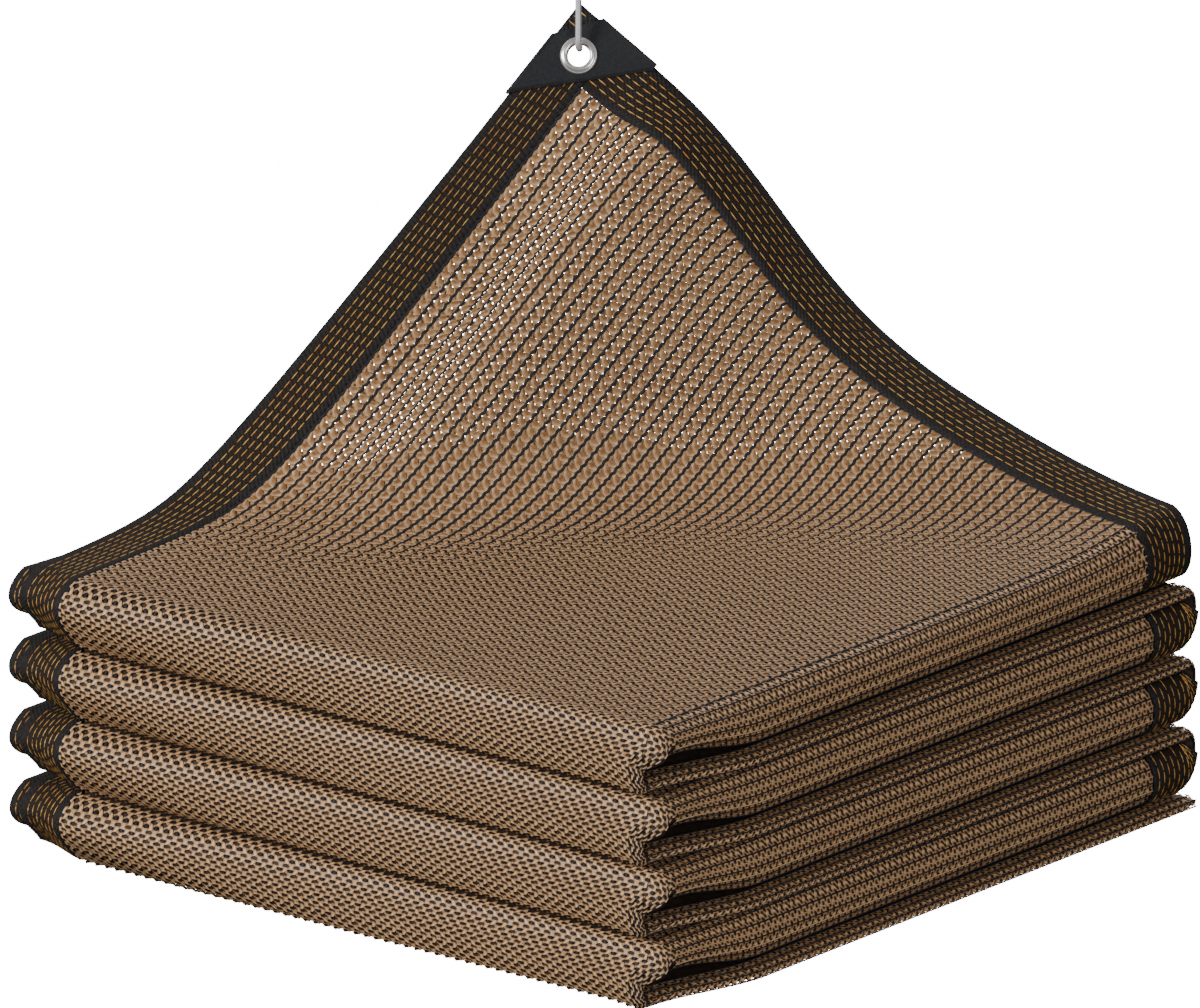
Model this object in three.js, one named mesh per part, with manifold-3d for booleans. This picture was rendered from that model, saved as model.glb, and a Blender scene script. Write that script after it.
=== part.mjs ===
// A knitted shade net, folded into a square stack with its top far corner drawn up on a wire hook.
// The net is one long piece. It is first doubled lengthwise, so that an outer and an inner ply meet
// in a fold along the +X side, and the doubled strip is then laid back and forth along Y, two runs
// to a packet and four packets high. Millimetres, Z up. The origin is under the middle of the
// stack, on the surface that the stack rests on.

import * as THREE from "three";
import { mergeVertices } from "three/addons/utils/BufferGeometryUtils.js";
import Module from "manifold-3d";

const wasm = await Module();
wasm.setup();

// The stack
const PACKETS = 4;
const PITCH = 39.4; // height of one packet
const HEM_X = -216; // open edge of the outer ply
const INNER_HEM_X = -230; // open edge of the inner ply, which peeps out past the outer one
const FOLD_X = 226; // tip of a packet's upper lengthwise fold
const NEAR_Y = -221;
const FAR_Y = 219;
const SPAN_X = FOLD_X - HEM_X;

// Heights of the plies' middle surfaces over the base of their packet. The inner ply stands off
// from the outer one at the lengthwise fold, and lies against it towards the hems.
const OUTER_TOP = 37;
const OUTER_LOW = 0.6;
const INNER_TOP_NEAR = 21;
const INNER_TOP_FAR = 9.5;
const INNER_LOW = 6.4;
const PLY_GAP = 4.6; // between the plies' middle surfaces at the hems
const CLOSE_X = -156;
const APART_X = 106;
const SETTLE = 0.18; // share of a run in which it comes to its level next to a near fold

// Cloth, binding and the gap between pieces
const NET_THICK = 1.2;
const BINDING_THICK = 1.8;
const BINDING = 38; // its width
const GAP = 0.3;

// Lengthwise folds along the +X side
const UPPER_FOLD_DEPTH = 12;
const LOWER_FOLD_DEPTH = 5;
const LOWER_OUT = 2.5; // the lower fold stands out past the upper one
const TUCK = 16; // but at the near corner it is tucked in
const TUCK_FROM = 0.3; // shares of the near fold
const TUCK_TO = 0.7;

// Crosswise folds along the -Y side
const NOSE_DEPTH = 16;
const NOSE_DEPTH_MID = 7; // where neighbouring packets lie nearly flush
const NOSE_FROM_X = -172;
const NOSE_MID_X = 49;
const NOSE_SKEW = 0.667; // lifts the tip of the fold above its mid-height
const NOSE_FULL = 0.75; // power of the fold's section, full and round
const NOSE_SHARP = 1.8; // and pointed at the stiff bound hem
const SHARP_RUN = 130;
const INNER_BACK = 5;
const INNER_NOSE_DEPTH = 6;
const INNER_NOSE_DEPTH_HEM = 12;
const HEM_DROOP = 4;
const HEM_BACK = 14.6; // the bound hem draws back along Y
const HEM_RUN = 48; // how far from the hem both reach
const BOW = 2.5; // the near side bows out past its ends
const BOW_FROM_X = -150;
const BOW_FULL_X = 49;
const CORNER_FROM_X = 182;
const TOE = 8; // at the near corner the foot of each fold stands out

// Crosswise folds along the +Y side
const FAR_FOLD_Y = 213;
const FAR_NOSE_DEPTH = 9;

// The drawn-up corner of the top ply
const LIFT = 223;
const REACH_Y = 328; // along the side hem, from the corner to where the cloth lands
const REACH_X = 640; // along the far hem, were there no shoulder
const SHOULDER = 0.179; // a slack shoulder in the far hem
const SHOULDER_AT = 175;
const SHOULDER_RUN = 68;
const HEM_FLAT = 43; // the cloth levels out beside the far hem
const HEM_FLAT_FROM = 52; // along that hem
const HEM_FLAT_FULL = 120;
const HEM_CURL = 3; // the far hem stands up a little
const HEM_CURL_FROM = 60;
const HEM_CURL_FULL = 200;
const HEM_CURL_RUN = 40;
const LANDING = 0.119; // softness of the landing
const LEAN_X = 49.6; // the corner leans in over the stack
const LEAN_Y = 32.4;
const LEAN_POWER = 0.614;
const LEAN_X_POWER = 2.5;
const TIP_RUN = 90; // the topmost cloth hangs upright from the hook,
const TIP_TURN = 0.39; // and so comes forward from the slope of the sheet
const TIP_WAY = new THREE.Vector3(0.6, -0.74, 0.31);

// The inner ply's far corner, under the drawn-up one, is pulled in along X
const PULL = 50;
const PULL_RUN = 110;
const PULL_POWER = 1.5;

// The corner patch, the eyelet and the hook
const PATCH_Y = 58; // leg along the side hem, in plan
const PATCH_X = 72; // leg along the far hem, in plan
const PATCH_THICK = 1;
const PATCH_BLUNT = 3; // both legs' far tips are cut short
const TIP_CUT = 19; // the patch leaves the binding's own corner bare
const CORNER_CUT = 56; // leg of the binding's corner piece, hidden under the patch
const CORNER_BLUNT = 3;
const WRAP = 2; // how far the patch stands out past the hems
const STRIP_INSET = 0.1; // of the strips that join the patch's front to its back
const EYELET_Y = 20.5;
const EYELET_X = 23;
const EYELET_R = 10;
const EYELET_HOLE_R = 6;
const EYELET_LIP = 1.2;
const BARREL_WALL = 0.7;
const WIRE_R = 1.7;
const WIRE_SLACK = 1; // extra room between the wire and the eyelet's lips
const BEND = 5;
const SHANK = 56; // from the bend to the closed eye
const HOOK_END = 12;
const EYE_R = 8;

function smooth(from, to, value) {
  return THREE.MathUtils.smoothstep(value, from, to);
}

function mix(a, b, share) {
  return a + (b - a) * share;
}

// Height of the drawn-up top ply over the stack, at plan distances q and p from its corner,
// along the far hem and along the side hem.
function liftAt(q, p) {
  const slack = HEM_FLAT * smooth(HEM_FLAT_FROM, HEM_FLAT_FULL, q) * Math.tanh(p / HEM_FLAT);
  const across = q / REACH_X + SHOULDER * (1 + Math.tanh((q - SHOULDER_AT) / SHOULDER_RUN));
  const rise = 1 - (p - slack) / REACH_Y - across;
  const curled = HEM_CURL * smooth(HEM_CURL_FROM, HEM_CURL_FULL, q);
  const curl = curled * Math.exp(-((p / HEM_CURL_RUN) ** 2));
  return (LIFT * (rise + Math.hypot(rise, LANDING))) / 2 + curl;
}

// How the drawn-up ply leans in over the stack where it is h above it
function leanAt(x, h) {
  const share = Math.min(h / LIFT, 1) ** LEAN_POWER;
  const inward = share * Math.max(1 - (x - HEM_X) / SPAN_X, 0) ** LEAN_X_POWER;
  return new THREE.Vector3(LEAN_X * inward, -LEAN_Y * share, 0);
}

// 1 at the outer ply's open edge, and 0 from HEM_RUN inwards
function nearHem(x) {
  return 1 - smooth(HEM_X, HEM_X + HEM_RUN, x);
}

// Y of the line where the near folds leave the flat runs
function nearLine(x) {
  const bow = smooth(BOW_FROM_X, BOW_FULL_X, x) - smooth(CORNER_FROM_X, FOLD_X, x);
  return NEAR_Y + HEM_BACK * nearHem(x) - BOW * bow;
}

// How far a near fold stands out in Y, on its way down from 1 to 0, with its half turn in radians
function noseAt(x, turn, down, depth) {
  const sharp = 1 - smooth(HEM_X, HEM_X + SHARP_RUN, x);
  const round = Math.max(Math.sin(turn), 0) ** mix(NOSE_FULL, NOSE_SHARP, sharp);
  return depth * round + TOE * smooth(CORNER_FROM_X, FOLD_X, x) * (1 - down);
}

function base(packet) {
  return PITCH * (PACKETS - 1 - packet);
}

function outerTop(x) {
  return OUTER_TOP - HEM_DROOP * nearHem(x);
}

// 1 where the two plies lie close together, and 0 where the lengthwise fold keeps them apart
function closeness(x) {
  return 1 - smooth(CLOSE_X, APART_X, x);
}

function innerTop(x, atFold) {
  return mix(atFold, outerTop(x) - PLY_GAP, closeness(x));
}

function innerLow(x) {
  return mix(INNER_LOW, OUTER_LOW + PLY_GAP, closeness(x));
}

// A station is one place along the doubled strip: on a flat run, where t goes from the far end
// to the near one, or in a fold, where t goes from its upper end to its lower one.
function outerAt(station, x) {
  const z0 = base(station.packet);
  const turn = Math.PI * station.t;
  const down = (1 + Math.cos(turn)) / 2;
  if (station.kind === "top run") {
    const y = mix(FAR_Y, nearLine(x), station.t);
    const h = liftAt(x - HEM_X, FAR_Y - y);
    const flat = mix(OUTER_TOP, outerTop(x), station.t ** 2);
    const forward = (TIP_TURN * Math.max(h - LIFT + TIP_RUN, 0) ** 2) / TIP_RUN;
    const point = new THREE.Vector3(x, y, z0 + flat + h).add(leanAt(x, h));
    return point.addScaledVector(TIP_WAY, forward);
  }
  if (station.kind === "near fold") {
    const first = station.packet === 0 ? liftAt(x - HEM_X, FAR_Y - nearLine(x)) : 0;
    const z = mix(OUTER_LOW, outerTop(x) + first, down ** NOSE_SKEW);
    const depth = mix(NOSE_DEPTH, NOSE_DEPTH_MID, smooth(NOSE_FROM_X, NOSE_MID_X, x));
    const point = new THREE.Vector3(x, nearLine(x) - noseAt(x, turn, down, depth), z0 + z);
    return point.addScaledVector(leanAt(x, first), down);
  }
  if (station.kind === "far fold") {
    const bottom = outerTop(x) - PITCH;
    const radius = (OUTER_LOW - bottom) / 2;
    const y = FAR_FOLD_Y + radius * Math.sin(turn);
    return new THREE.Vector3(x, y, z0 + mix(bottom, OUTER_LOW, down));
  }
  return new THREE.Vector3(x, FAR_Y, z0 + OUTER_LOW);
}

function innerAt(station, x) {
  const z0 = base(station.packet);
  const turn = Math.PI * station.t;
  const down = (1 + Math.cos(turn)) / 2;
  const nearTop = innerTop(x, INNER_TOP_NEAR);
  if (station.kind === "top run") {
    const y = mix(FAR_Y, nearLine(x) + INNER_BACK, station.t);
    const fromFold = Math.max((FOLD_X - x) / SPAN_X, 0);
    const pulled = x + PULL * fromFold ** PULL_POWER * smooth(FAR_Y - PULL_RUN, FAR_Y, y);
    const settled = mix(smooth(1 - SETTLE, 1, station.t), station.t, closeness(x));
    return new THREE.Vector3(pulled, y, z0 + mix(INNER_TOP_FAR, nearTop, settled));
  }
  if (station.kind === "near fold") {
    const depth = mix(INNER_NOSE_DEPTH, INNER_NOSE_DEPTH_HEM, closeness(x));
    const y = nearLine(x) + INNER_BACK - noseAt(x, turn, down, depth);
    return new THREE.Vector3(x, y, z0 + mix(innerLow(x), nearTop, down));
  }
  if (station.kind === "far fold") {
    const y = FAR_FOLD_Y + FAR_NOSE_DEPTH * Math.sin(turn);
    const bottom = innerTop(x, INNER_TOP_FAR) - PITCH;
    return new THREE.Vector3(x, y, z0 + mix(bottom, innerLow(x), down));
  }
  return new THREE.Vector3(x, FAR_Y, z0 + innerLow(x));
}

// How far a station has gone over from the upper run of its packet to the lower one
function lowShare(station) {
  const half = (1 - Math.cos(Math.PI * station.t)) / 2;
  if (station.kind === "near fold") return half;
  if (station.kind === "far fold") return 1 - half;
  return station.kind === "low end" ? 1 : 0;
}

// The doubled cloth at a station: side runs from 0, at the outer ply's inner binding edge, to 1,
// where the fold begins, to 2, where it ends, and to 3, at the inner ply's binding edge.
function clothAt(station, side) {
  const low = lowShare(station);
  const depth = mix(UPPER_FOLD_DEPTH, LOWER_FOLD_DEPTH, low);
  const tuck = station.kind === "near fold" ? TUCK * smooth(TUCK_FROM, TUCK_TO, station.t) : 0;
  const start = FOLD_X + LOWER_OUT * low - depth - tuck;
  if (side <= 1) return outerAt(station, mix(HEM_X + BINDING + GAP, start, side));
  if (side >= 2) return innerAt(station, mix(start, INNER_HEM_X + BINDING + GAP, side - 2));
  const outer = outerAt(station, start);
  const inner = innerAt(station, start);
  const angle = Math.PI * (side - 1);
  const point = outer.clone().lerp(inner, (1 - Math.cos(angle)) / 2);
  point.x += depth * Math.sin(angle);
  return point;
}

// A closed slab on a surface. rows and columns are the surface's own coordinates, and the slab
// reaches from low to high along its normal, which points away from the fold's inside.
function slab(surface, rows, columns, low, high) {
  const positions = [];
  const indices = [];
  const eps = 1e-3;
  const width = columns.length;
  const size = rows.length * width;
  for (const offset of [high, low]) {
    for (const r of rows) {
      for (const c of columns) {
        const alongRows = surface(r + eps, c).sub(surface(r - eps, c));
        const alongColumns = surface(r, c + eps).sub(surface(r, c - eps));
        const normal = alongRows.cross(alongColumns).normalize();
        const point = surface(r, c).addScaledVector(normal, offset);
        positions.push(point.x, point.y, point.z);
      }
    }
  }
  const quad = (a, b, c, d) => indices.push(a, b, c, a, c, d);
  for (let i = 0; i + 1 < rows.length; i++) {
    for (let j = 0; j + 1 < width; j++) {
      const a = i * width + j;
      quad(a, a + width, a + width + 1, a + 1);
      quad(size + a, size + a + 1, size + a + width + 1, size + a + width);
    }
  }
  const rim = [];
  for (let j = 0; j < width; j++) rim.push(j);
  for (let i = 1; i < rows.length; i++) rim.push(i * width + width - 1);
  for (let j = width - 2; j >= 0; j--) rim.push((rows.length - 1) * width + j);
  for (let i = rows.length - 2; i > 0; i--) rim.push(i * width);
  rim.forEach((a, i) => {
    const b = rim[(i + 1) % rim.length];
    quad(a, b, size + b, size + a);
  });
  const geometry = new THREE.BufferGeometry();
  geometry.setAttribute("position", new THREE.Float32BufferAttribute(positions, 3));
  geometry.setIndex(indices);
  return geometry;
}

function steps(count, from = 0, to = 1) {
  return Array.from({ length: count + 1 }, (_, i) => mix(from, to, i / count));
}

// The strip's stations in order, as numbers that stationOf reads: the whole part names the
// stretch, and the fraction is t. Stretch 0 is the top run, and then folds follow in turn.
const STRETCHES = [{ kind: "top run", packet: 0 }];
for (let packet = 0; packet < PACKETS; packet++) {
  STRETCHES.push({ kind: "near fold", packet });
  if (packet + 1 < PACKETS) STRETCHES.push({ kind: "far fold", packet });
}
STRETCHES.push({ kind: "low end", packet: PACKETS - 1 });

function stationOf(row) {
  const stretch = THREE.MathUtils.clamp(Math.floor(row / 2), 0, STRETCHES.length - 1);
  return { ...STRETCHES[stretch], t: Math.min(row - 2 * stretch, 1) };
}

// Between two folds the cloth runs straight from the end of one to the start of the next, and
// takes its place and level within a short way of the near one.
function onStrip(at) {
  return (row, column) => {
    const stretch = Math.floor(row / 2);
    const beyond = row - 2 * stretch - 1;
    if (row < 0 || row >= LAST_ROW || beyond <= 0) return at(stationOf(row), column);
    const before = at(stationOf(2 * stretch + 1), column);
    const after = at(stationOf(2 * stretch + 2), column);
    const lower = STRETCHES[stretch].kind === "near fold";
    const settled = lower ? smooth(0, SETTLE, beyond) : smooth(1 - SETTLE, 1, beyond);
    const y = mix(before.y, after.y, beyond);
    return before.lerp(after, settled).setY(y);
  };
}

const LAST_ROW = 2 * (STRETCHES.length - 1);
const NOSE_STEPS = 8;
const TOP_STEPS = 20;
const SETTLE_STEPS = 2;

// The top run ends where the first fold begins, so that place is listed once.
const ROWS = steps(TOP_STEPS);
STRETCHES.forEach((stretch, i) => {
  if (!stretch.kind.endsWith("fold")) return;
  const fold = steps(NOSE_STEPS, 2 * i, 2 * i + 1);
  ROWS.push(...(i === 1 ? fold.slice(1) : fold));
  if (i + 2 === STRETCHES.length) return;
  const lower = stretch.kind === "near fold";
  const near = steps(SETTLE_STEPS, 0, SETTLE).slice(1);
  const settling = lower ? near : near.map((beyond) => 1 - beyond).reverse();
  ROWS.push(...settling.map((beyond) => 2 * i + 1 + beyond));
});
ROWS.push(LAST_ROW);

function solidOf(geometry) {
  const plain = geometry.clone();
  plain.deleteAttribute("normal");
  plain.deleteAttribute("uv");
  const merged = mergeVertices(plain, 1e-4);
  return new wasm.Manifold(
    new wasm.Mesh({
      numProp: 3,
      vertProperties: merged.attributes.position.array,
      triVerts: new Uint32Array(merged.index.array),
    }),
  );
}

function geometryOf(solid) {
  const mesh = solid.getMesh();
  const geometry = new THREE.BufferGeometry();
  geometry.setAttribute("position", new THREE.BufferAttribute(mesh.vertProperties, 3));
  geometry.setIndex(new THREE.BufferAttribute(mesh.triVerts, 1));
  return geometry;
}

// Materials
function finish(color, roughness, metalness = 0) {
  return new THREE.MeshStandardMaterial({ color, roughness, metalness });
}
const knit = finish(0x9c7448, 0.75);
const tape = finish(0x17171a, 0.7);
const coatedCloth = finish(0x15161a, 0.4);
const rolledAluminium = finish(0xc9c6c0, 0.35, 1);
const wire = finish(0xa9a9ab, 0.4, 1);

const cloth = new THREE.Group();

function add(name, geometry, material) {
  geometry.computeVertexNormals();
  const mesh = new THREE.Mesh(geometry, material);
  mesh.name = name;
  cloth.add(mesh);
}

// Width of the far hem's binding in plan, where the cloth climbs
function farWidth(q) {
  return BINDING / Math.hypot(1, (liftAt(q, 0) - liftAt(q, BINDING)) / BINDING);
}

const topT = (p) => p / (FAR_Y - NEAR_Y);
const columnQ = (side) => mix(BINDING + GAP, SPAN_X - UPPER_FOLD_DEPTH, side);
const farEdge = (side) => (side < 1 ? farWidth(columnQ(side)) : BINDING);

// The net: one sheet through all the folds
const netAt = (station, side) => {
  if (station.kind !== "top run") return clothAt(station, side);
  return clothAt({ ...station, t: mix(topT(farEdge(side) + GAP), 1, station.t) }, side);
};
const besidePatch = steps(3, 0.025, 0.095); // finer, where the corner patch lies beside it
const outerColumns = [0, ...besidePatch, ...steps(8, 0.15, 1)];
const netColumns = [...outerColumns, ...steps(5, 1, 2).slice(1), ...steps(6, 2, 3).slice(1)];
add("net", slab(onStrip(netAt), ROWS, netColumns, -NET_THICK / 2, NET_THICK / 2), knit);

// The bindings of the two side hems. Their outer face is level with the net's. Under the patch
// the outer one is cut on the slant, where the corner piece takes over.
const bindingLow = NET_THICK / 2 - BINDING_THICK;
const bindingHigh = NET_THICK / 2;
const slantAt = (q) => CORNER_CUT - q;
const outerHem = (station, across) => {
  const q = BINDING * across;
  if (station.kind !== "top run") return outerAt(station, HEM_X + q);
  return outerAt({ ...station, t: mix(topT(slantAt(q) + GAP), 1, station.t) }, HEM_X + q);
};
const netStart = topT(BINDING + GAP);
const innerHem = (station, across) => {
  const t = station.kind === "top run" ? mix(netStart, 1, station.t) : station.t;
  return innerAt({ ...station, t }, INNER_HEM_X + BINDING * (1 - across));
};
const innerStart = netStart / (netStart - 1);
const innerRows = [...steps(4, innerStart, 0), ...ROWS.slice(1)];
const acrossHem = steps(2);
add("binding_side_outer", slab(onStrip(outerHem), ROWS, acrossHem, bindingLow, bindingHigh), tape);
add("binding_side_inner", slab(onStrip(innerHem), innerRows, acrossHem, bindingLow, bindingHigh), tape);

// The binding of the far hem, over both plies and round the fold between them
const farHem = (row, side) => {
  const from = side < 1 ? Math.max(slantAt(columnQ(side)) + GAP, 0) : 0;
  return clothAt({ kind: "top run", packet: 0, t: topT(mix(from, farEdge(side), row)) }, side);
};
const cutEnd = (CORNER_CUT + GAP - BINDING) / (columnQ(1) - BINDING);
const farColumns = [0, cutEnd, ...netColumns.slice(1)];
add("binding_far", slab(farHem, steps(4), farColumns, bindingLow, bindingHigh), tape);

// The taped seams at the three far folds, on the outside of the doubled cloth. Each begins at the
// middle of the fold and lies over the upper run of the packet below.
const SEAM_OFF = NET_THICK / 2 + GAP;
const SEAM_THICK = 1;
const SEAM_END = 1.15; // where the tape stops on its way round the lengthwise fold
for (let packet = 0; packet + 1 < PACKETS; packet++) {
  const foldRow = 2 * STRETCHES.findIndex((s) => s.kind === "far fold" && s.packet === packet);
  const runRow = foldRow + 1 + (BINDING - FAR_NOSE_DEPTH) / (FAR_FOLD_Y - NEAR_Y);
  const rows = [...steps(4, foldRow + 0.5, foldRow + 1), runRow];
  const columns = netColumns.filter((side) => side > SEAM_END);
  const seam = slab(onStrip(clothAt), rows, columns, SEAM_OFF, SEAM_OFF + SEAM_THICK);
  add("seam_tape_" + (packet + 1), seam, tape);
}

// The drawn-up corner, in plan distances q from the side hem and p from the far one
const cornerAt = (q, p) => outerAt({ kind: "top run", packet: 0, t: topT(p) }, HEM_X + q);
const eyeletCentre = cornerAt(EYELET_X, EYELET_Y);
const eyeletNormal = cornerAt(EYELET_X + 1, EYELET_Y)
  .sub(cornerAt(EYELET_X - 1, EYELET_Y))
  .cross(cornerAt(EYELET_X, EYELET_Y - 1).sub(cornerAt(EYELET_X, EYELET_Y + 1)))
  .normalize();

// A round bar along the eyelet's axis, from one height over the cloth to another
function eyeletBar(radius, from, to) {
  const bar = new THREE.CylinderGeometry(radius, radius, to - from, 28);
  bar.translate(0, (from + to) / 2, 0);
  bar.applyQuaternion(new THREE.Quaternion().setFromUnitVectors(new THREE.Vector3(0, 1, 0), eyeletNormal));
  bar.translate(eyeletCentre.x, eyeletCentre.y, eyeletCentre.z);
  return solidOf(bar);
}

const THROUGH = 20; // half the length of a bar that goes through every layer
const barrelR = EYELET_HOLE_R + BARREL_WALL;
const piercing = eyeletBar(barrelR + GAP, -THROUGH, THROUGH);

// The corner of the binding, under the patch
const cornerWidth = CORNER_CUT - CORNER_BLUNT;
const cornerBinding = (row, column) => {
  const q = cornerWidth * column;
  return cornerAt(q, slantAt(q) * row);
};
const cornerSlab = slab(cornerBinding, steps(5), steps(5), bindingLow, bindingHigh);
add("binding_corner", geometryOf(solidOf(cornerSlab).subtract(piercing)), tape);

// The patch is one piece of coated cloth folded over both hems: a front, a back, and a strip past
// each hem's edge that joins them. Its own corner is left open, and the binding's tip shows there.
const patchFront = bindingHigh + GAP;
const patchBack = bindingLow - GAP;
const patchAt = (row, column) => {
  const q = mix(-WRAP, PATCH_X - PATCH_BLUNT, column);
  const from = Math.max(TIP_CUT - q, -WRAP);
  const to = PATCH_Y * (1 - q / PATCH_X);
  return cornerAt(q, mix(Math.min(from, to - 1), to, row));
};
const stripStart = TIP_CUT + WRAP;
const stripEdge = (share) => mix(STRIP_INSET - WRAP, -GAP, share);
const sideStrip = (row, column) =>
  cornerAt(stripEdge(column), mix(stripStart, PATCH_Y - STRIP_INSET, row));
const farStrip = (row, column) =>
  cornerAt(mix(stripStart, PATCH_X - PATCH_BLUNT - WRAP, column), stripEdge(row));
const patchPanel = (low) => solidOf(slab(patchAt, steps(5), steps(9), low, low + PATCH_THICK));
const patchStrip = (surface, rows, columns) =>
  solidOf(slab(surface, rows, columns, patchBack - PATCH_THICK / 2, patchFront + PATCH_THICK / 2));
const patch = patchPanel(patchFront)
  .add(patchPanel(patchBack - PATCH_THICK))
  .add(patchStrip(sideStrip, steps(5), steps(1)))
  .add(patchStrip(farStrip, steps(1), steps(5)))
  .subtract(piercing);
add("corner_patch", geometryOf(patch), coatedCloth);

// The eyelet: a barrel through the corner with a lip on each side
const lipFront = patchFront + PATCH_THICK + GAP;
const lipBack = patchBack - PATCH_THICK - GAP;
const eyelet = eyeletBar(EYELET_R, lipFront, lipFront + EYELET_LIP)
  .add(eyeletBar(EYELET_R, lipBack - EYELET_LIP, lipBack))
  .add(eyeletBar(barrelR, lipBack - EYELET_LIP / 2, lipFront + EYELET_LIP / 2))
  .subtract(eyeletBar(EYELET_HOLE_R, -THROUGH, THROUGH));
add("eyelet", geometryOf(eyelet), rolledAluminium);

// The hook is one wire: a closed eye, an upright shank in front of the patch, a bend through the
// eyelet, and an end that lies up along the back of the patch.
const up = new THREE.Vector3(0, 0, 1);
const patchUp = up.clone().addScaledVector(eyeletNormal, -up.dot(eyeletNormal)).normalize();
const hookPoint = (out, rise) =>
  eyeletCentre.clone().addScaledVector(eyeletNormal, out).addScaledVector(patchUp, rise);
const seatRise = EYELET_HOLE_R - WIRE_R - GAP;
const clear = WIRE_R + GAP + WIRE_SLACK;
const seatFront = hookPoint(lipFront + EYELET_LIP, seatRise);
const seatRear = hookPoint(lipBack - EYELET_LIP, seatRise);
const shankFoot = hookPoint(lipFront + EYELET_LIP + clear, seatRise);
const shankStart = shankFoot.clone().addScaledVector(up, BEND);
const shankTop = shankStart.clone().addScaledVector(up, SHANK);
const endOut = lipBack - EYELET_LIP - clear;
const endStart = hookPoint(endOut, seatRise + BEND);
const route = new THREE.CurvePath();
route.add(new THREE.LineCurve3(shankTop, shankStart));
route.add(new THREE.QuadraticBezierCurve3(shankStart, shankFoot, seatFront));
route.add(new THREE.LineCurve3(seatFront, seatRear));
route.add(new THREE.QuadraticBezierCurve3(seatRear, hookPoint(endOut, seatRise), endStart));
route.add(new THREE.LineCurve3(endStart, hookPoint(endOut, seatRise + BEND + HOOK_END)));
const wireSection = new THREE.Shape().absarc(0, 0, WIRE_R, 0, 2 * Math.PI);
const drawn = { steps: 56, curveSegments: 5, extrudePath: route };
const hookWire = new THREE.ExtrudeGeometry(wireSection, drawn);
const eye = new THREE.TorusGeometry(EYE_R, WIRE_R, 10, 24);
eye.rotateX(Math.PI / 2);
eye.translate(shankTop.x, shankTop.y, shankTop.z + EYE_R);
add("hook", geometryOf(solidOf(hookWire).add(solidOf(eye))), wire);

// The origin is under the middle of the outline.
const outline = new THREE.Box3().setFromObject(cloth);
const middle = outline.getCenter(new THREE.Vector3());
cloth.position.set(-middle.x, -middle.y, -outline.min.z);
const group = new THREE.Group();
group.add(cloth);

export default group;
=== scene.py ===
import math

import bpy
import numpy as np
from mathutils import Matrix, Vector


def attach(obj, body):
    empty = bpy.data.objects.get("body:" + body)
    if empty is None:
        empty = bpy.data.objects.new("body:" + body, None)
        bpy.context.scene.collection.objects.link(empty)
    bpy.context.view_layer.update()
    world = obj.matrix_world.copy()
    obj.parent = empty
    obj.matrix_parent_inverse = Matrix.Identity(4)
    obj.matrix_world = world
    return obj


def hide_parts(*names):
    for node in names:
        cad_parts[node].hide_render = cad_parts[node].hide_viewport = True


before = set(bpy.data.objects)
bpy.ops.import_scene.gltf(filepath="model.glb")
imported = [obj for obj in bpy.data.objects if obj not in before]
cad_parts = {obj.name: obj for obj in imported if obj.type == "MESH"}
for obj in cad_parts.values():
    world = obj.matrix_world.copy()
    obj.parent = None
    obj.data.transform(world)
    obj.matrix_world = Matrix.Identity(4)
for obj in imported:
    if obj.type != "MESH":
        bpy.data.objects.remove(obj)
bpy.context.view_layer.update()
bpy.ops.object.select_all(action="DESELECT")

# The camera stands far off with a long lens, so that parallel folds stay parallel in the picture.
# It looks down a little on the stack's near corner. VIEW_RIGHT and VIEW_UP give the point that it
# aims at, in metres from the origin and in the picture's own directions.
PHOTO_WIDTH = 1200
PIXELS_PER_METRE = 1887
VIEW_AZIMUTH, VIEW_ELEVATION = math.radians(39), math.radians(17.8)
VIEW_RIGHT, VIEW_UP = 0.0040, 0.1717
VIEW_DISTANCE = 20

right = Vector((math.cos(VIEW_AZIMUTH), math.sin(VIEW_AZIMUTH), 0))
back = Vector((math.sin(VIEW_AZIMUTH) * math.cos(VIEW_ELEVATION),
               -math.cos(VIEW_AZIMUTH) * math.cos(VIEW_ELEVATION), math.sin(VIEW_ELEVATION)))
lens = bpy.data.cameras.new("camera")
lens.lens = lens.sensor_width * VIEW_DISTANCE * PIXELS_PER_METRE / PHOTO_WIDTH
lens.clip_start, lens.clip_end = 1, 100
camera = bpy.data.objects.new("camera", lens)
bpy.context.scene.collection.objects.link(camera)
camera.location = right * VIEW_RIGHT + back.cross(right) * VIEW_UP + back * VIEW_DISTANCE
camera.rotation_euler = back.to_track_quat("Z", "Y").to_euler()
bpy.context.scene.camera = camera

# The studio is a wide white floor and a bright even surround. A large soft lamp stands over the
# left shoulder, and two weaker ones light the right side and the back. To the camera the floor only
# glows, and to all else it is matt white paint and no lamp.
FLOOR_SIZE, FLOOR_DROP, FLOOR_WHITE, FLOOR_GLOW = 80, 0.0004, 0.9, 16
SURROUND_LIGHT = 0.35
LIT_HEIGHT = 0.12
LAMPS = (  # name, place, size, watts
    ("key lamp", (-1.0, -2.7, 1.2), 1.2, 122),
    ("side lamp", (2.6, -1.1, 0.7), 1.2, 46),
    ("back lamp", (-0.5, 2.6, 2.0), 1.6, 22),
)

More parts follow.
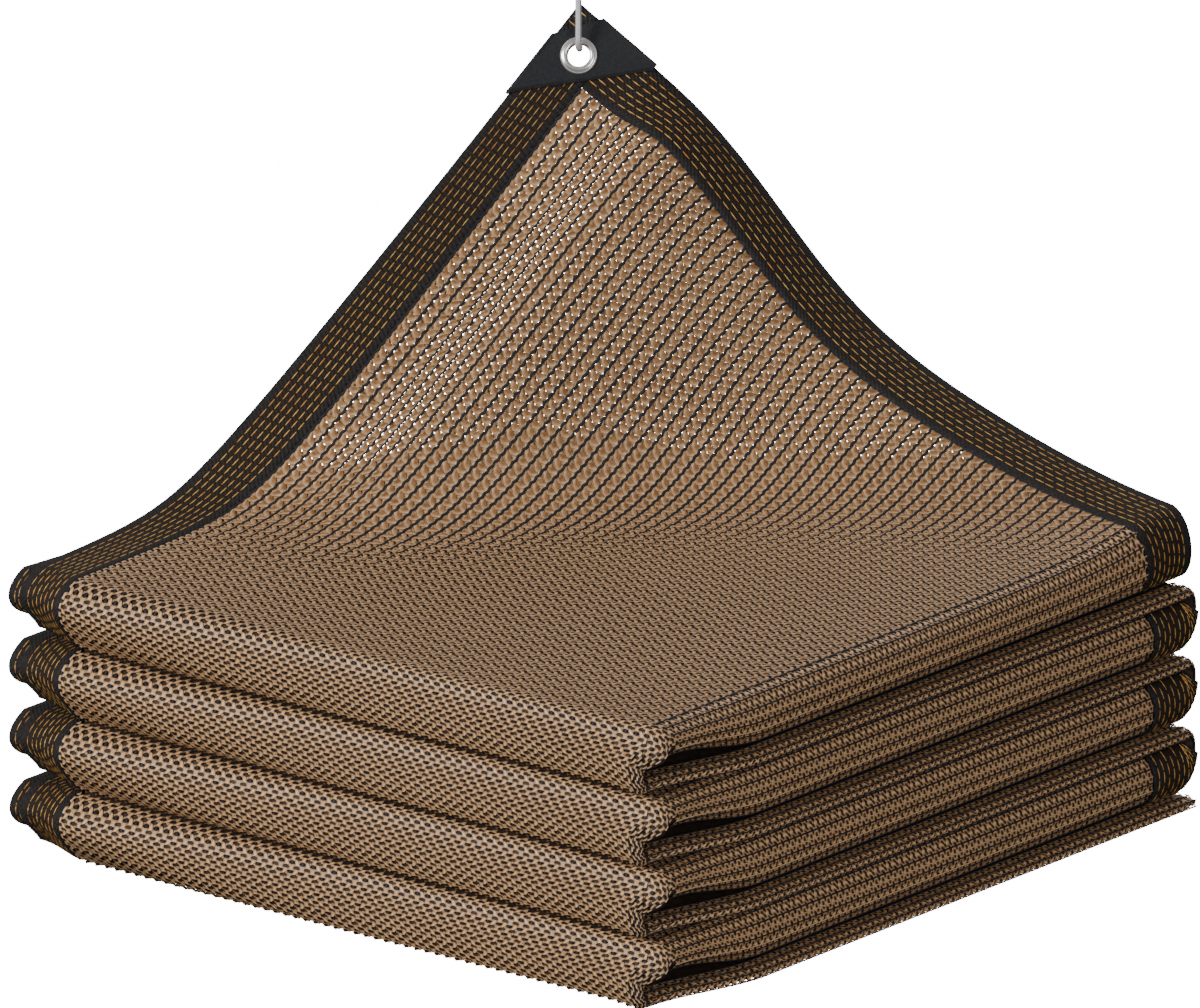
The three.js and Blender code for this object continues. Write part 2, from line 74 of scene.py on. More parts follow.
bpy.ops.mesh.primitive_plane_add(size=FLOOR_SIZE, location=(0, 0, -FLOOR_DROP))
floor = bpy.context.object
floor.name = "floor"
floor_paint = bpy.data.materials.new("white floor")
floor_paint.use_nodes = True
floor_paint.cycles.emission_sampling = "NONE"
floor_nodes, floor_links = floor_paint.node_tree.nodes, floor_paint.node_tree.links
floor_shader = floor_nodes["Principled BSDF"]
floor_shader.inputs["Roughness"].default_value = 0.9
floor_shader.inputs["Emission Color"].default_value = (1, 1, 1, 1)
seen = floor_nodes.new("ShaderNodeLightPath")
glow, white = floor_nodes.new("ShaderNodeMath"), floor_nodes.new("ShaderNodeMath")
glow.operation, white.operation = "MULTIPLY", "MULTIPLY_ADD"
glow.inputs[1].default_value = FLOOR_GLOW
white.inputs[1].default_value, white.inputs[2].default_value = -FLOOR_WHITE, FLOOR_WHITE
for part, socket in ((glow, "Emission Strength"), (white, "Base Color")):
    floor_links.new(seen.outputs["Is Camera Ray"], part.inputs[0])
    floor_links.new(part.outputs["Value"], floor_shader.inputs[socket])
floor.data.materials.append(floor_paint)

surround = bpy.data.worlds.new("surround")
surround.use_nodes = True
surround.node_tree.nodes["Background"].inputs["Color"].default_value = (1, 1, 1, 1)
surround.node_tree.nodes["Background"].inputs["Strength"].default_value = SURROUND_LIGHT
bpy.context.scene.world = surround

for name, place, size, watts in LAMPS:
    lamp = bpy.data.lights.new(name, "AREA")
    lamp.shape = "DISK"
    lamp.size = size
    lamp.energy = watts
    stand = bpy.data.objects.new(name, lamp)
    stand.location = place
    from_stack = Vector(place) - Vector((0, 0, LIT_HEIGHT))
    stand.rotation_euler = from_stack.to_track_quat("Z", "Y").to_euler()
    bpy.context.scene.collection.objects.link(stand)

# The cloth's folds, in millimetres. One long knitted net is doubled lengthwise, so that an outer and
# an inner ply meet in a fold along +X, and is laid back and forth along Y, two runs to a packet and
# four packets high, with its top far corner drawn up.
PACKETS, PITCH = 4, 39.4
HEM_X, INNER_HEM_X, FOLD_X = -216, -230, 226
NEAR_Y, FAR_Y, FAR_FOLD_Y, FAR_NOSE_DEPTH = -221, 219, 213, 9
SPAN_X = FOLD_X - HEM_X

# Heights of the plies over the base of their packet, and where along X they part and close
OUTER_TOP, OUTER_LOW = 37, 0.6
INNER_TOP_NEAR, INNER_TOP_FAR, INNER_LOW, PLY_GAP = 21, 9.5, 6.4, 4.6
CLOSE_X, APART_X, SETTLE = -156, 106, 0.18
TAPE_WIDTH, GAP = 38, 0.3

# How far the lengthwise folds and the near folds stand out, and how those end at hems and corner
UPPER_FOLD_DEPTH, LOWER_FOLD_DEPTH, LOWER_OUT = 12, 5, 2.5
TUCK, TUCK_FROM, TUCK_TO = 16, 0.3, 0.7
NOSE_DEPTH, NOSE_DEPTH_MID, NOSE_FROM_X, NOSE_MID_X = 16, 7, -172, 49
NOSE_SKEW, NOSE_FULL, NOSE_SHARP, SHARP_RUN = 0.667, 0.75, 1.8, 130
INNER_BACK, INNER_NOSE_DEPTH, INNER_NOSE_DEPTH_HEM = 5, 6, 12
HEM_DROOP, HEM_BACK, HEM_RUN = 4, 14.6, 48
BOW, BOW_FROM_X, BOW_FULL_X = 2.5, -150, 49
CORNER_FROM_X, TOE = 182, 8

# The drawn-up corner: its height, how far its slopes reach, its shoulder, the curl of its far hem,
# its landing on the stack, its lean towards the middle, and its upright tip
LIFT, REACH_Y, REACH_X = 223, 328, 640
SHOULDER, SHOULDER_AT, SHOULDER_RUN = 0.179, 175, 68
HEM_FLAT, HEM_FLAT_FROM, HEM_FLAT_FULL = 43, 52, 120
HEM_CURL, HEM_CURL_FROM, HEM_CURL_FULL, HEM_CURL_RUN = 3, 60, 200, 40
LANDING, LEAN_X, LEAN_Y, LEAN_POWER, LEAN_X_POWER = 0.119, 49.6, 32.4, 0.614, 2.5
TIP_RUN, TIP_TURN, TIP_WAY = 90, 0.39, np.array([0.6, -0.74, 0.31])
PULL, PULL_RUN, PULL_POWER = 50, 110, 1.5

ORIGIN = np.array([0.6105, 7.2686, 0])  # where the cloth's own zero lies in the frame
NUDGE = 1e-3  # the step over which a surface's directions are measured


def smooth(start, end, value):
    share = np.clip((value - start) / (end - start), 0, 1)
    return share * share * (3 - 2 * share)


def mix(a, b, share):
    return a + (b - a) * share


def paired(first, second):
    return np.broadcast_arrays(np.asarray(first, float), np.asarray(second, float))


def length_along(line):
    return np.append(0, np.cumsum(np.linalg.norm(np.diff(line, axis=0), axis=1)))


def place_of(x, y, z):
    return np.stack(np.broadcast_arrays(x, y, z), -1).astype(float)


def lift_at(q, p):
    """Height of the drawn-up ply over the stack, q and p in plan from its side and far hems."""
    slack = HEM_FLAT * smooth(HEM_FLAT_FROM, HEM_FLAT_FULL, q) * np.tanh(p / HEM_FLAT)
    across = q / REACH_X + SHOULDER * (1 + np.tanh((q - SHOULDER_AT) / SHOULDER_RUN))
    rise = 1 - (p - slack) / REACH_Y - across
    curl = HEM_CURL * smooth(HEM_CURL_FROM, HEM_CURL_FULL, q) * np.exp(-(p / HEM_CURL_RUN) ** 2)
    return LIFT * (rise + np.hypot(rise, LANDING)) / 2 + curl


def lean_at(x, h):
    """How far cloth drawn up by h leans in over the stack."""
    share = np.minimum(h / LIFT, 1) ** LEAN_POWER
    inward = share * np.maximum(1 - (x - HEM_X) / SPAN_X, 0) ** LEAN_X_POWER
    return place_of(LEAN_X * inward, -LEAN_Y * share, 0)


def near_hem(x):
    """1 at the side hem, and 0 where the near folds have lost its droop."""
    return 1 - smooth(HEM_X, HEM_X + HEM_RUN, x)


def near_line(x):
    bow = smooth(BOW_FROM_X, BOW_FULL_X, x) - smooth(CORNER_FROM_X, FOLD_X, x)
    return NEAR_Y + HEM_BACK * near_hem(x) - BOW * bow


def nose_at(x, turn, down, depth):
    """How far a near fold stands out at an angle of its turn; it is sharper towards the hems."""
    sharp = 1 - smooth(HEM_X, HEM_X + SHARP_RUN, x)
    stands_out = depth * np.maximum(np.sin(turn), 0) ** mix(NOSE_FULL, NOSE_SHARP, sharp)
    return stands_out + TOE * smooth(CORNER_FROM_X, FOLD_X, x) * (1 - down)


def outer_top(x):
    return OUTER_TOP - HEM_DROOP * near_hem(x)


def closeness(x):
    """1 where the inner ply lies against the outer one, and 0 where it stands off."""
    return 1 - smooth(CLOSE_X, APART_X, x)


def inner_top(x, at_fold):
    return mix(at_fold, outer_top(x) - PLY_GAP, closeness(x))


def inner_low(x):
    return mix(INNER_LOW, OUTER_LOW + PLY_GAP, closeness(x))


def kinds(stretch):
    """Stretch 0 is the top run, odd ones are the near folds, even ones the far folds, and the last
    is the free end. The third answer is the height of the stretch's packet."""
    near, top, end = stretch % 2 == 1, stretch == 0, stretch == 2 * PACKETS
    packet = np.clip((stretch - 1) // 2, 0, PACKETS - 1)
    return near[..., None], top[..., None], end[..., None], PITCH * (PACKETS - 1 - packet), packet


def outer_place(stretch, t, x):
    near, top, end, z0, packet = kinds(stretch)
    turn = np.pi * np.clip(t, 0, 1)
    down = (1 + np.cos(turn)) / 2
    run_y = mix(FAR_Y, near_line(x), t)
    h = lift_at(x - HEM_X, FAR_Y - run_y)
    forward = TIP_TURN * np.maximum(h - LIFT + TIP_RUN, 0) ** 2 / TIP_RUN
    drawn_up = place_of(x, run_y, mix(OUTER_TOP, outer_top(x), t ** 2) + h + z0) + lean_at(x, h)
    drawn_up += forward[..., None] * TIP_WAY
    first = np.where(packet == 0, lift_at(x - HEM_X, FAR_Y - near_line(x)), 0)
    depth = mix(NOSE_DEPTH, NOSE_DEPTH_MID, smooth(NOSE_FROM_X, NOSE_MID_X, x))
    near_z = mix(OUTER_LOW, outer_top(x) + first, down ** NOSE_SKEW)
    in_near = place_of(x, near_line(x) - nose_at(x, turn, down, depth), z0 + near_z)
    in_near += lean_at(x, first) * down[..., None]
    bottom = outer_top(x) - PITCH
    far_y = FAR_FOLD_Y + (OUTER_LOW - bottom) / 2 * np.sin(turn)
    in_far = place_of(x, far_y, z0 + mix(bottom, OUTER_LOW, down))
    return np.select([top, near, end], [drawn_up, in_near, place_of(x, FAR_Y, z0 + OUTER_LOW)], in_far)


def inner_place(stretch, t, x):
    near, top, end, z0, _ = kinds(stretch)
    turn = np.pi * np.clip(t, 0, 1)
    down = (1 + np.cos(turn)) / 2
    near_top = inner_top(x, INNER_TOP_NEAR)
    run_y = mix(FAR_Y, near_line(x) + INNER_BACK, t)
    from_fold = np.maximum((FOLD_X - x) / SPAN_X, 0)
    pulled = x + PULL * from_fold ** PULL_POWER * smooth(FAR_Y - PULL_RUN, FAR_Y, run_y)
    settled = mix(smooth(1 - SETTLE, 1, t), t, closeness(x))
    on_top = place_of(pulled, run_y, z0 + mix(INNER_TOP_FAR, near_top, settled))
    depth = mix(INNER_NOSE_DEPTH, INNER_NOSE_DEPTH_HEM, closeness(x))
    near_y = near_line(x) + INNER_BACK - nose_at(x, turn, down, depth)
    in_near = place_of(x, near_y, z0 + mix(inner_low(x), near_top, down))
    bottom = inner_top(x, INNER_TOP_FAR) - PITCH
    far_y = FAR_FOLD_Y + FAR_NOSE_DEPTH * np.sin(turn)
    in_far = place_of(x, far_y, z0 + mix(bottom, inner_low(x), down))
    return np.select([top, near, end], [on_top, in_near, place_of(x, FAR_Y, z0 + inner_low(x))], in_far)


def cloth_place(stretch, t, side):
    """side runs from 0, at the outer ply's binding, to 1 and 2, where the lengthwise fold begins
    and ends, to 3, at the inner ply's binding."""
    half = (1 - np.cos(np.pi * np.clip(t, 0, 1))) / 2
    near = stretch % 2 == 1
    low = np.select([stretch == 0, stretch == 2 * PACKETS, near], [0, 1, half], 1 - half)
    depth = mix(UPPER_FOLD_DEPTH, LOWER_FOLD_DEPTH, low)
    tuck = np.where(near, TUCK * smooth(TUCK_FROM, TUCK_TO, t), 0)
    start = FOLD_X + LOWER_OUT * low - depth - tuck
    outer_x = mix(HEM_X + TAPE_WIDTH + GAP, start, np.clip(side, 0, 1))
    inner_x = mix(start, INNER_HEM_X + TAPE_WIDTH + GAP, np.clip(side - 2, 0, 1))
    outer, inner = outer_place(stretch, t, outer_x), inner_place(stretch, t, inner_x)
    angle = np.pi * np.clip(side - 1, 0, 1)
    point = mix(outer, inner, ((1 - np.cos(angle)) / 2)[..., None])
    point[..., 0] += depth * np.sin(angle)
    return point


def on_strip(place, row, column):
    """The folds as place gives them, with straight runs of cloth between one and the next. A row is
    a place along the strip: its half, rounded down, is the stretch, and what is left runs from 0 to
    1 through that stretch and from 1 to 2 on the run that follows it."""
    row, column = paired(row, column)
    stretch = np.clip(np.floor(row / 2), 0, 2 * PACKETS).astype(int)
    t = row - 2 * stretch
    here = place(stretch, np.minimum(t, 1), column)
    beyond = np.where(stretch < 2 * PACKETS, np.maximum(t - 1, 0), 0)[..., None]
    following = place(np.minimum(stretch + 1, 2 * PACKETS), np.zeros_like(t), column)
    lower = (stretch % 2 == 1)[..., None]
    settled = np.where(lower, smooth(0, SETTLE, beyond), smooth(1 - SETTLE, 1, beyond))
    between = mix(here, following, settled)
    between[..., 1] = mix(here[..., 1], following[..., 1], beyond[..., 0])
    return np.where(beyond > 0, between, here)


def cloth_at(row, side):
    return on_strip(cloth_place, row, side)


def directions(surface, rows, columns):
    """Unit directions along the strip, across it, and out of the doubled cloth."""
    along = surface(rows + NUDGE, columns) - surface(rows - NUDGE, columns)
    across = surface(rows, columns + NUDGE) - surface(rows, columns - NUDGE)
    out = np.cross(along, across)
    return [way / np.maximum(np.linalg.norm(way, axis=-1, keepdims=True), 1e-12)
            for way in (along, across, out)]


def even_rows(surface, start, end, pitch, column):
    """Rows from start to end that lie a pitch apart on one line along the strip."""
    fine = np.linspace(start, end, 800)
    length = length_along(surface(fine, np.full(len(fine), column)))
    count = max(round(length[-1] / pitch), 1)
    return np.interp(np.linspace(0, length[-1], count + 1), length, fine)


def grid_faces(rows, columns):
    """Quads over a grid of points laid out row by row."""
    row, column = np.meshgrid(np.arange(rows - 1), np.arange(columns - 1), indexing="ij")
    corner = row * columns + column
    return np.stack([corner, corner + columns, corner + columns + 1, corner + 1], -1).reshape(-1, 4)


def cloth_piece(name, points, faces, material, slot, shade=None, pattern=None):
    """A smooth mesh from points in millimetres. shade is a value for each point, and pattern its
    place along and across the piece, in metres."""
    mesh = bpy.data.meshes.new(name)
    points = (np.asarray(points, float).reshape(-1, 3) + ORIGIN) / 1000
    faces = np.asarray(faces, np.int32)
    mesh.vertices.add(len(points))
    mesh.vertices.foreach_set("co", points.ravel())
    mesh.loops.add(faces.size)
    mesh.loops.foreach_set("vertex_index", faces.ravel())
    mesh.polygons.add(len(faces))
    mesh.polygons.foreach_set("loop_start", np.arange(0, faces.size, faces.shape[1], dtype=np.int32))
    mesh.polygons.foreach_set("use_smooth", np.ones(len(faces), bool))
    mesh.update(calc_edges=True)
    if shade is not None:
        mesh.attributes.new("shade", "FLOAT", "POINT").data.foreach_set("value", np.ravel(shade))
    if pattern is not None:
        corners = np.asarray(pattern, float).reshape(-1, 2)[faces.ravel()]
        mesh.uv_layers.new(name="pattern").data.foreach_set("uv", corners.ravel())
    piece = bpy.data.objects.new(name, mesh)
    bpy.context.scene.collection.objects.link(piece)
    mesh.materials.append(material)
    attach(piece, "root")
    return piece


# The yarns of the net: flat tan tapes of drawn plastic, laid in zigzags between black chains of
# loops, the wales, which go the long way of the cloth. Where the net is drawn taut the wales lie
# bare, and where it lies slack the tapes ride over them, so that they show only in spots.
WALE, ROW_PITCH = 6.95, 5.05
TAUT_CROSS_HALF, TAUT_TURN_HALF = 2.3, 1.95
SLACK_BROAD_HALF, SLACK_NARROW_HALF = 1.3, 0.62
MOST_GATHERED, MOST_DRAWN = 0.6, 1.7  # limits to how the tapes' width follows the rows' pitch
TAPE_ARCH = 0.4
TAUT_REACH, SLACK_REACH = -0.2, 0.15
RIDE_OVER = 0.55
CHAIN_HALF, SLACK_CHAIN_HALF, BARE_HALF, CHAIN_THICK = 0.85, 1.0, 0.5, 0.45
CHAIN_RISE, SLACK_CHAIN_RISE, BARE_RISE = 0.45, 0.05, 0.55
CHAIN_SWAY, SLACK_SWAY = 0.35, 0.2
# How far the tan tapes go over to their cream colour. In taut cloth this is a painted highlight at
# their turns. In slack cloth the tapes are lighter where broad, partly their own tan and partly painted
# light, and darker where narrow, as painted shade. Across each tape there is painted shade on one edge
# and a painted highlight on the other.
TAUT_TURN_HIGHLIGHT, TAUT_EDGE_SHADING, SLACK_TONE_AND_SHADE, SLACK_EDGE_SHADING = 0.75, 0.32, 0.58, 0.14
TAN_LINE_HALF, TAN_LINE_SHADE = 0.36, 0.4


def uneven_tone_group():
    """Uneven colour: a base colour drifts to a second one in large soft areas, and small flecks of
    a third lie over both."""
    group = bpy.data.node_groups.new("uneven tone", "ShaderNodeTree")
    for name in ("Base", "Drift", "Fleck"):
        group.interface.new_socket(name, in_out="INPUT", socket_type="NodeSocketColor")
    for name in ("Drift Scale", "Fleck Scale", "Fleck Amount"):
        group.interface.new_socket(name, in_out="INPUT", socket_type="NodeSocketFloat")
    group.interface.new_socket("Color", in_out="OUTPUT", socket_type="NodeSocketColor")
    group.interface.new_socket("Grain", in_out="OUTPUT", socket_type="NodeSocketFloat")
    nodes, links = group.nodes, group.links
    inputs, outputs = nodes.new("NodeGroupInput"), nodes.new("NodeGroupOutput")
    place = nodes.new("ShaderNodeTexCoord")
    drift, fleck = nodes.new("ShaderNodeTexNoise"), nodes.new("ShaderNodeTexNoise")
    first, second = nodes.new("ShaderNodeMix"), nodes.new("ShaderNodeMix")
    spread, amount = nodes.new("ShaderNodeMapRange"), nodes.new("ShaderNodeMath")
    first.data_type = second.data_type = "RGBA"
    amount.operation = "MULTIPLY"
    spread.inputs["From Min"].default_value, spread.inputs["From Max"].default_value = 0.42, 0.62
    for texture, scale in ((drift, "Drift Scale"), (fleck, "Fleck Scale")):
        links.new(place.outputs["Object"], texture.inputs["Vector"])
        links.new(inputs.outputs[scale], texture.inputs["Scale"])
    links.new(drift.outputs["Fac"], first.inputs["Factor"])
    links.new(inputs.outputs["Base"], first.inputs["A"])
    links.new(inputs.outputs["Drift"], first.inputs["B"])
    links.new(fleck.outputs["Fac"], spread.inputs["Value"])
    links.new(spread.outputs["Result"], amount.inputs[0])
    links.new(inputs.outputs["Fleck Amount"], amount.inputs[1])
    links.new(amount.outputs["Value"], second.inputs["Factor"])
    links.new(first.outputs["Result"], second.inputs["A"])
    links.new(inputs.outputs["Fleck"], second.inputs["B"])
    links.new(second.outputs["Result"], outputs.inputs["Color"])
    links.new(fleck.outputs["Fac"], outputs.inputs["Grain"])
    return group


uneven_tone = uneven_tone_group()


def finish(name, base, drift, fleck, drift_scale, fleck_scale, fleck_amount, roughness, highlight_and_second_tone=None):
    """A material of uneven tone. Where a second colour is given, the colour goes over to it with the
    piece's shade attribute. On the tan yarn that second colour is partly the yarn's own light tan and
    partly painted highlight. On the tape and the stitches it is their own second colour."""
    material = bpy.data.materials.new(name)
    material.use_nodes = True
    nodes, links = material.node_tree.nodes, material.node_tree.links
    shader = nodes["Principled BSDF"]
    shader.inputs["Roughness"].default_value = roughness
    shader.inputs["Specular IOR Level"].default_value = 0.25
    tone = nodes.new("ShaderNodeGroup")
    tone.node_tree = uneven_tone
    for socket, colour in (("Base", base), ("Drift", drift), ("Fleck", fleck)):
        tone.inputs[socket].default_value = (*colour, 1)
    tone.inputs["Drift Scale"].default_value = drift_scale
    tone.inputs["Fleck Scale"].default_value = fleck_scale
    tone.inputs["Fleck Amount"].default_value = fleck_amount
    links.new(tone.outputs["Color"], shader.inputs["Base Color"])
    if highlight_and_second_tone:
        shade, blend = nodes.new("ShaderNodeAttribute"), nodes.new("ShaderNodeMix")
        shade.attribute_name = "shade"
        blend.data_type = "RGBA"
        blend.inputs["B"].default_value = (*highlight_and_second_tone, 1)
        links.new(shade.outputs["Fac"], blend.inputs["Factor"])
        links.new(tone.outputs["Color"], blend.inputs["A"])
        links.new(blend.outputs["Result"], shader.inputs["Base Color"])
    return material


# The tan yarn's cream second colour is partly the tapes' own light tan and partly painted highlight,
# which the tapes' shade puts at their turns and on one edge of each tape.
tan_yarn = finish("tan tape yarn", (0.125, 0.05, 0.016), (0.19, 0.088, 0.032), (0.32, 0.17, 0.075),
                  11, 380, 0.5, 0.5, highlight_and_second_tone=(0.84, 0.575, 0.33))
black_yarn = finish("black chain yarn", (0.01, 0.01, 0.013), (0.014, 0.013, 0.017),
                    (0.035, 0.03, 0.034), 12, 500, 0.5, 0.6)


def always_slack(row, wale):
    return np.ones(np.broadcast(row, wale).shape)


def zigzag_tapes(surface, rows, wales, slack, samples):
    """Two flat tapes in each gap between wales, which cross halfway, one over the other, and turn
    at the wales. In slack cloth they ride up on the wale, and in taut cloth they lie wide."""
    steps = np.arange(0, len(rows) - 1 + 1e-9, 1 / samples)
    count, gap = np.meshgrid(steps, np.arange(len(wales) - 1), indexing="ij")
    row = np.interp(count, np.arange(len(rows)), rows)
    loose = slack(row, wales[gap])
    reach = 1 + 2 * mix(TAUT_REACH, SLACK_REACH, loose) / WALE
    points, faces, shades, start = [], [], [], 0
    for phase, arch in ((0, TAPE_ARCH), (1, -TAPE_ARCH)):
        wave = np.abs((count + phase) % 2 - 1)
        turn = np.abs(2 * wave - 1)
        wale = wales[gap] + (wales[gap + 1] - wales[gap]) * (0.5 + (wave - 0.5) * reach)
        along, _, out = directions(surface, row, wale)
        rise = arch * (1 - turn) + loose * RIDE_OVER * turn ** 1.5
        middle = surface(row, wale) + out * rise[..., None]
        broad = abs(2 * turn - 1)
        half = mix(mix(TAUT_CROSS_HALF, TAUT_TURN_HALF, turn),
                   mix(SLACK_NARROW_HALF, SLACK_BROAD_HALF, broad), loose)
        ahead = surface(row + NUDGE, wale) - surface(row - NUDGE, wale)
        pitch = np.linalg.norm(ahead, axis=-1) / (2 * NUDGE) * np.gradient(row[:, 0], steps)[:, None]
        half = along * (half * np.clip(pitch / ROW_PITCH, MOST_GATHERED, MOST_DRAWN))[..., None]
        block = np.stack([middle - half, middle + half], 2)
        index = np.arange(block.size // 3).reshape(block.shape[:3]) + start
        quads = np.stack([index[:-1, :, 0], index[:-1, :, 1], index[1:, :, 1], index[1:, :, 0]], -1)
        leftwards = np.diff(wave, axis=0) < 0
        quads[leftwards] = quads[leftwards][:, ::-1]
        points.append(block.reshape(-1, 3))
        faces.append(quads.reshape(-1, 4))
        # The tapes' shade is painted light: a painted highlight at the turns of taut tapes, and lighter
        # broad and darker narrow parts in slack ones, partly their own tan and partly painted shade.
        # Each tape also has painted shade on one edge and a painted highlight on the other.
        tone = mix(TAUT_TURN_HIGHLIGHT * turn ** 2, SLACK_TONE_AND_SHADE * broad, loose)
        slope = mix(TAUT_EDGE_SHADING, SLACK_EDGE_SHADING, loose)
        shades.append(np.stack([tone - slope, tone + slope], 2).ravel())
        start += block.size // 3
    return np.concatenate(points), np.concatenate(faces), np.concatenate(shades)


def yarn_tubes(centre, sideways, upwards):
    """Four-sided yarns along the first axis of centre."""
    points = np.stack([centre + sideways, centre + upwards, centre - sideways, centre - upwards], -2)
    index = np.arange(points.size // 3).reshape(points.shape[:3])
    quads = []
    for corner in range(4):
        edge, following = index[:, :, corner], index[:, :, (corner + 1) % 4]
        quad = np.stack([edge[:-1], edge[1:], following[1:], following[:-1]], -1)
        quads.append(quad.reshape(-1, 4))
    return points.reshape(-1, 3), np.concatenate(quads)


def wale_chains(surface, rows, wales, slack, bare=False):
    """A chain of loops along each wale, which sways from side to side twice a row. Where the wales
    are bare they lie over the tapes."""
    steps = np.arange(0, len(rows) - 1 + 1e-9, 1 / 2)
    row, wale = np.meshgrid(np.interp(steps, np.arange(len(rows)), rows), wales, indexing="ij")
    loose = slack(row, wale)[..., None]
    _, across, out = directions(surface, row, wale)
    side = np.cos(2 * np.pi * steps)[:, None] * (1 - 2 * ((np.arange(len(wales)) + 1) % 2))
    sway = across * side[..., None] * mix(CHAIN_SWAY, SLACK_SWAY, loose)
    rise, half = mix(CHAIN_RISE, SLACK_CHAIN_RISE, loose), mix(CHAIN_HALF, SLACK_CHAIN_HALF, loose)
    if bare:
        rise, half = BARE_RISE, BARE_HALF
    return yarn_tubes(surface(row, wale) + sway + out * rise, across * half, out * CHAIN_THICK)


def knit(name, surface, rows, wales, slack=always_slack, samples=4, bare=False):
    """The knit's two pieces, tapes and wales; samples is how many steps a tape takes to a row."""
    points, faces, shade = zigzag_tapes(surface, rows, wales, slack, samples)
    tapes = cloth_piece(name + "_tapes", points, faces, tan_yarn, "knit", shade)
    chains = wale_chains(surface, rows, wales, slack, bare)
    return [tapes, cloth_piece(name + "_wales", *chains, black_yarn, "knit")]


def tan_lines(name, surface, rows, wales):
    """Tan yarn laid along a few wales of a lengthwise fold, over the black."""
    row, wale = np.meshgrid(rows, np.array(wales), indexing="ij")
    _, across, out = directions(surface, row, wale)
    points, faces = yarn_tubes(surface(row, wale) + out * (RIDE_OVER + TAN_LINE_HALF),
                               across * TAN_LINE_HALF, out * TAN_LINE_HALF)
    return cloth_piece(name, points, faces, tan_yarn, "knit", np.full(len(points), TAN_LINE_SHADE))


def far_edge(side):
    """The far tape's width in plan, which is less where the hem stands steep."""
    q = mix(TAPE_WIDTH + GAP, SPAN_X - UPPER_FOLD_DEPTH, np.clip(side, 0, 1))
    slope = (lift_at(q, 0) - lift_at(q, TAPE_WIDTH)) / TAPE_WIDTH
    return np.where(side < 1, TAPE_WIDTH / np.hypot(1, slope), TAPE_WIDTH)


RUN = FAR_Y - NEAR_Y
TAUT_FROM, SLACK_BELOW = 15, 0.5  # heights of the drawn-up cloth over the stack
NEAR_YARNS, FAR_YARNS = 1.012, 0.55  # how far the yarns of a near and a far fold run through it

hem_side = np.linspace(0, 1, 200)
hem_share = length_along(cloth_at(far_edge(hem_side) / RUN, hem_side))
hem_share /= hem_share[-1]


def top_surface(w, side):
    """The top run from its far binding to the near fold. The wales lie evenly spaced along the far
    hem, although it rises steeply on one side."""
    side = np.where(np.asarray(side) < 1, mix(np.interp(side, hem_share, hem_side), side, w), side)
    return cloth_at(mix((far_edge(side) + GAP) / RUN, 1, np.minimum(w, 0.9999)), side)


def top_slack(w, side):
    """The drawn-up cloth is taut, and it grows slack where it lies on the stack."""
    side = mix(np.interp(side, hem_share, hem_side), np.minimum(side, 1), w)
    q = mix(TAPE_WIDTH, SPAN_X, side)
    return 1 - smooth(SLACK_BELOW, TAUT_FROM, lift_at(q, mix(TAPE_WIDTH, RUN, w)))


wales_a = np.linspace(0, 1, round((SPAN_X - TAPE_WIDTH - UPPER_FOLD_DEPTH) / WALE) + 1)
wales_fold, wales_low_fold = np.linspace(1, 2, 7), np.linspace(1, 2, 4)
wales_b = np.linspace(2, 3, len(wales_a))
wales_upper = np.concatenate([wales_fold[1:], [wales_b[1]]])
wales_lower = np.concatenate([wales_low_fold[1:], [wales_b[1]]])
fold_lines = (1.42, 1.6)

top_rows = even_rows(top_surface, 0, 1, ROW_PITCH, 0.2)
yarns = knit("top_ply", top_surface, top_rows, wales_a, top_slack)
yarns += knit("long_fold_1", top_surface, top_rows, np.append(wales_a[-1:], wales_upper), bare=True)
yarns.append(tan_lines("long_fold_1_lines", top_surface, top_rows, fold_lines))
under_rows = even_rows(top_surface, 0, 1, ROW_PITCH, 2.5)
yarns += knit("under_ply", top_surface, under_rows, wales_b, samples=2)
for packet in range(PACKETS):
    near = 2 * (2 * packet + 1)
    rows = even_rows(cloth_at, near, near + NEAR_YARNS, ROW_PITCH, 0.5)
    yarns += knit(f"near_fold_{packet + 1}", cloth_at, rows, np.append(wales_a, wales_fold[1:4]))
for stretch in range(1, 2 * PACKETS):
    rows = even_rows(cloth_at, 2 * stretch + 1, 2 * stretch + 2, ROW_PITCH, 1.5)
    lower = stretch % 2 == 1
    wales = np.append(wales_a[-3:], wales_lower if lower else wales_upper)
    yarns += knit(f"long_fold_{stretch + 1}", cloth_at, rows, wales, bare=True)
    if not lower:
        yarns.append(tan_lines(f"long_fold_{stretch + 1}_lines", cloth_at, rows, fold_lines))
for packet in range(PACKETS - 1):
    far = 4 * (packet + 1)
    rows = even_rows(cloth_at, far, far + FAR_YARNS, ROW_PITCH, 2.5)
    yarns += knit(f"far_fold_{packet + 1}", cloth_at, rows, np.append(wales_fold[3:-1], wales_b))

# The net's folded plies under those yarns: one thin sheet through all the folds, painted dark as
# painted shade for the shadow that falls between the layers. It ends where the top run is drawn up over
# BACKED_BELOW, because light shows through the yarns there.
PLY_SINK, BACKED_BELOW = 0.6, 30
shaded_net = finish("shaded net", (0.034, 0.021, 0.015), (0.022, 0.015, 0.012), (0.08, 0.05, 0.03),
                    14, 260, 0.5, 0.8)
ply_rows = list(np.linspace((TAPE_WIDTH + GAP) / RUN, 0.98, 90))
for stretch in range(1, 2 * PACKETS):
    ply_rows += list(2 * stretch + np.linspace(0, 1, 17))
    ply_rows += list(2 * stretch + 1 + np.linspace(0, 1, 18)[1:-1])
ply_rows = np.array(ply_rows + [4 * PACKETS])
ply_sides = np.concatenate([np.linspace(0, 1, 81), np.linspace(1, 2, 13)[1:],
                            np.linspace(2, 3, 31)[1:]])
grid = np.meshgrid(ply_rows, ply_sides, indexing="ij")
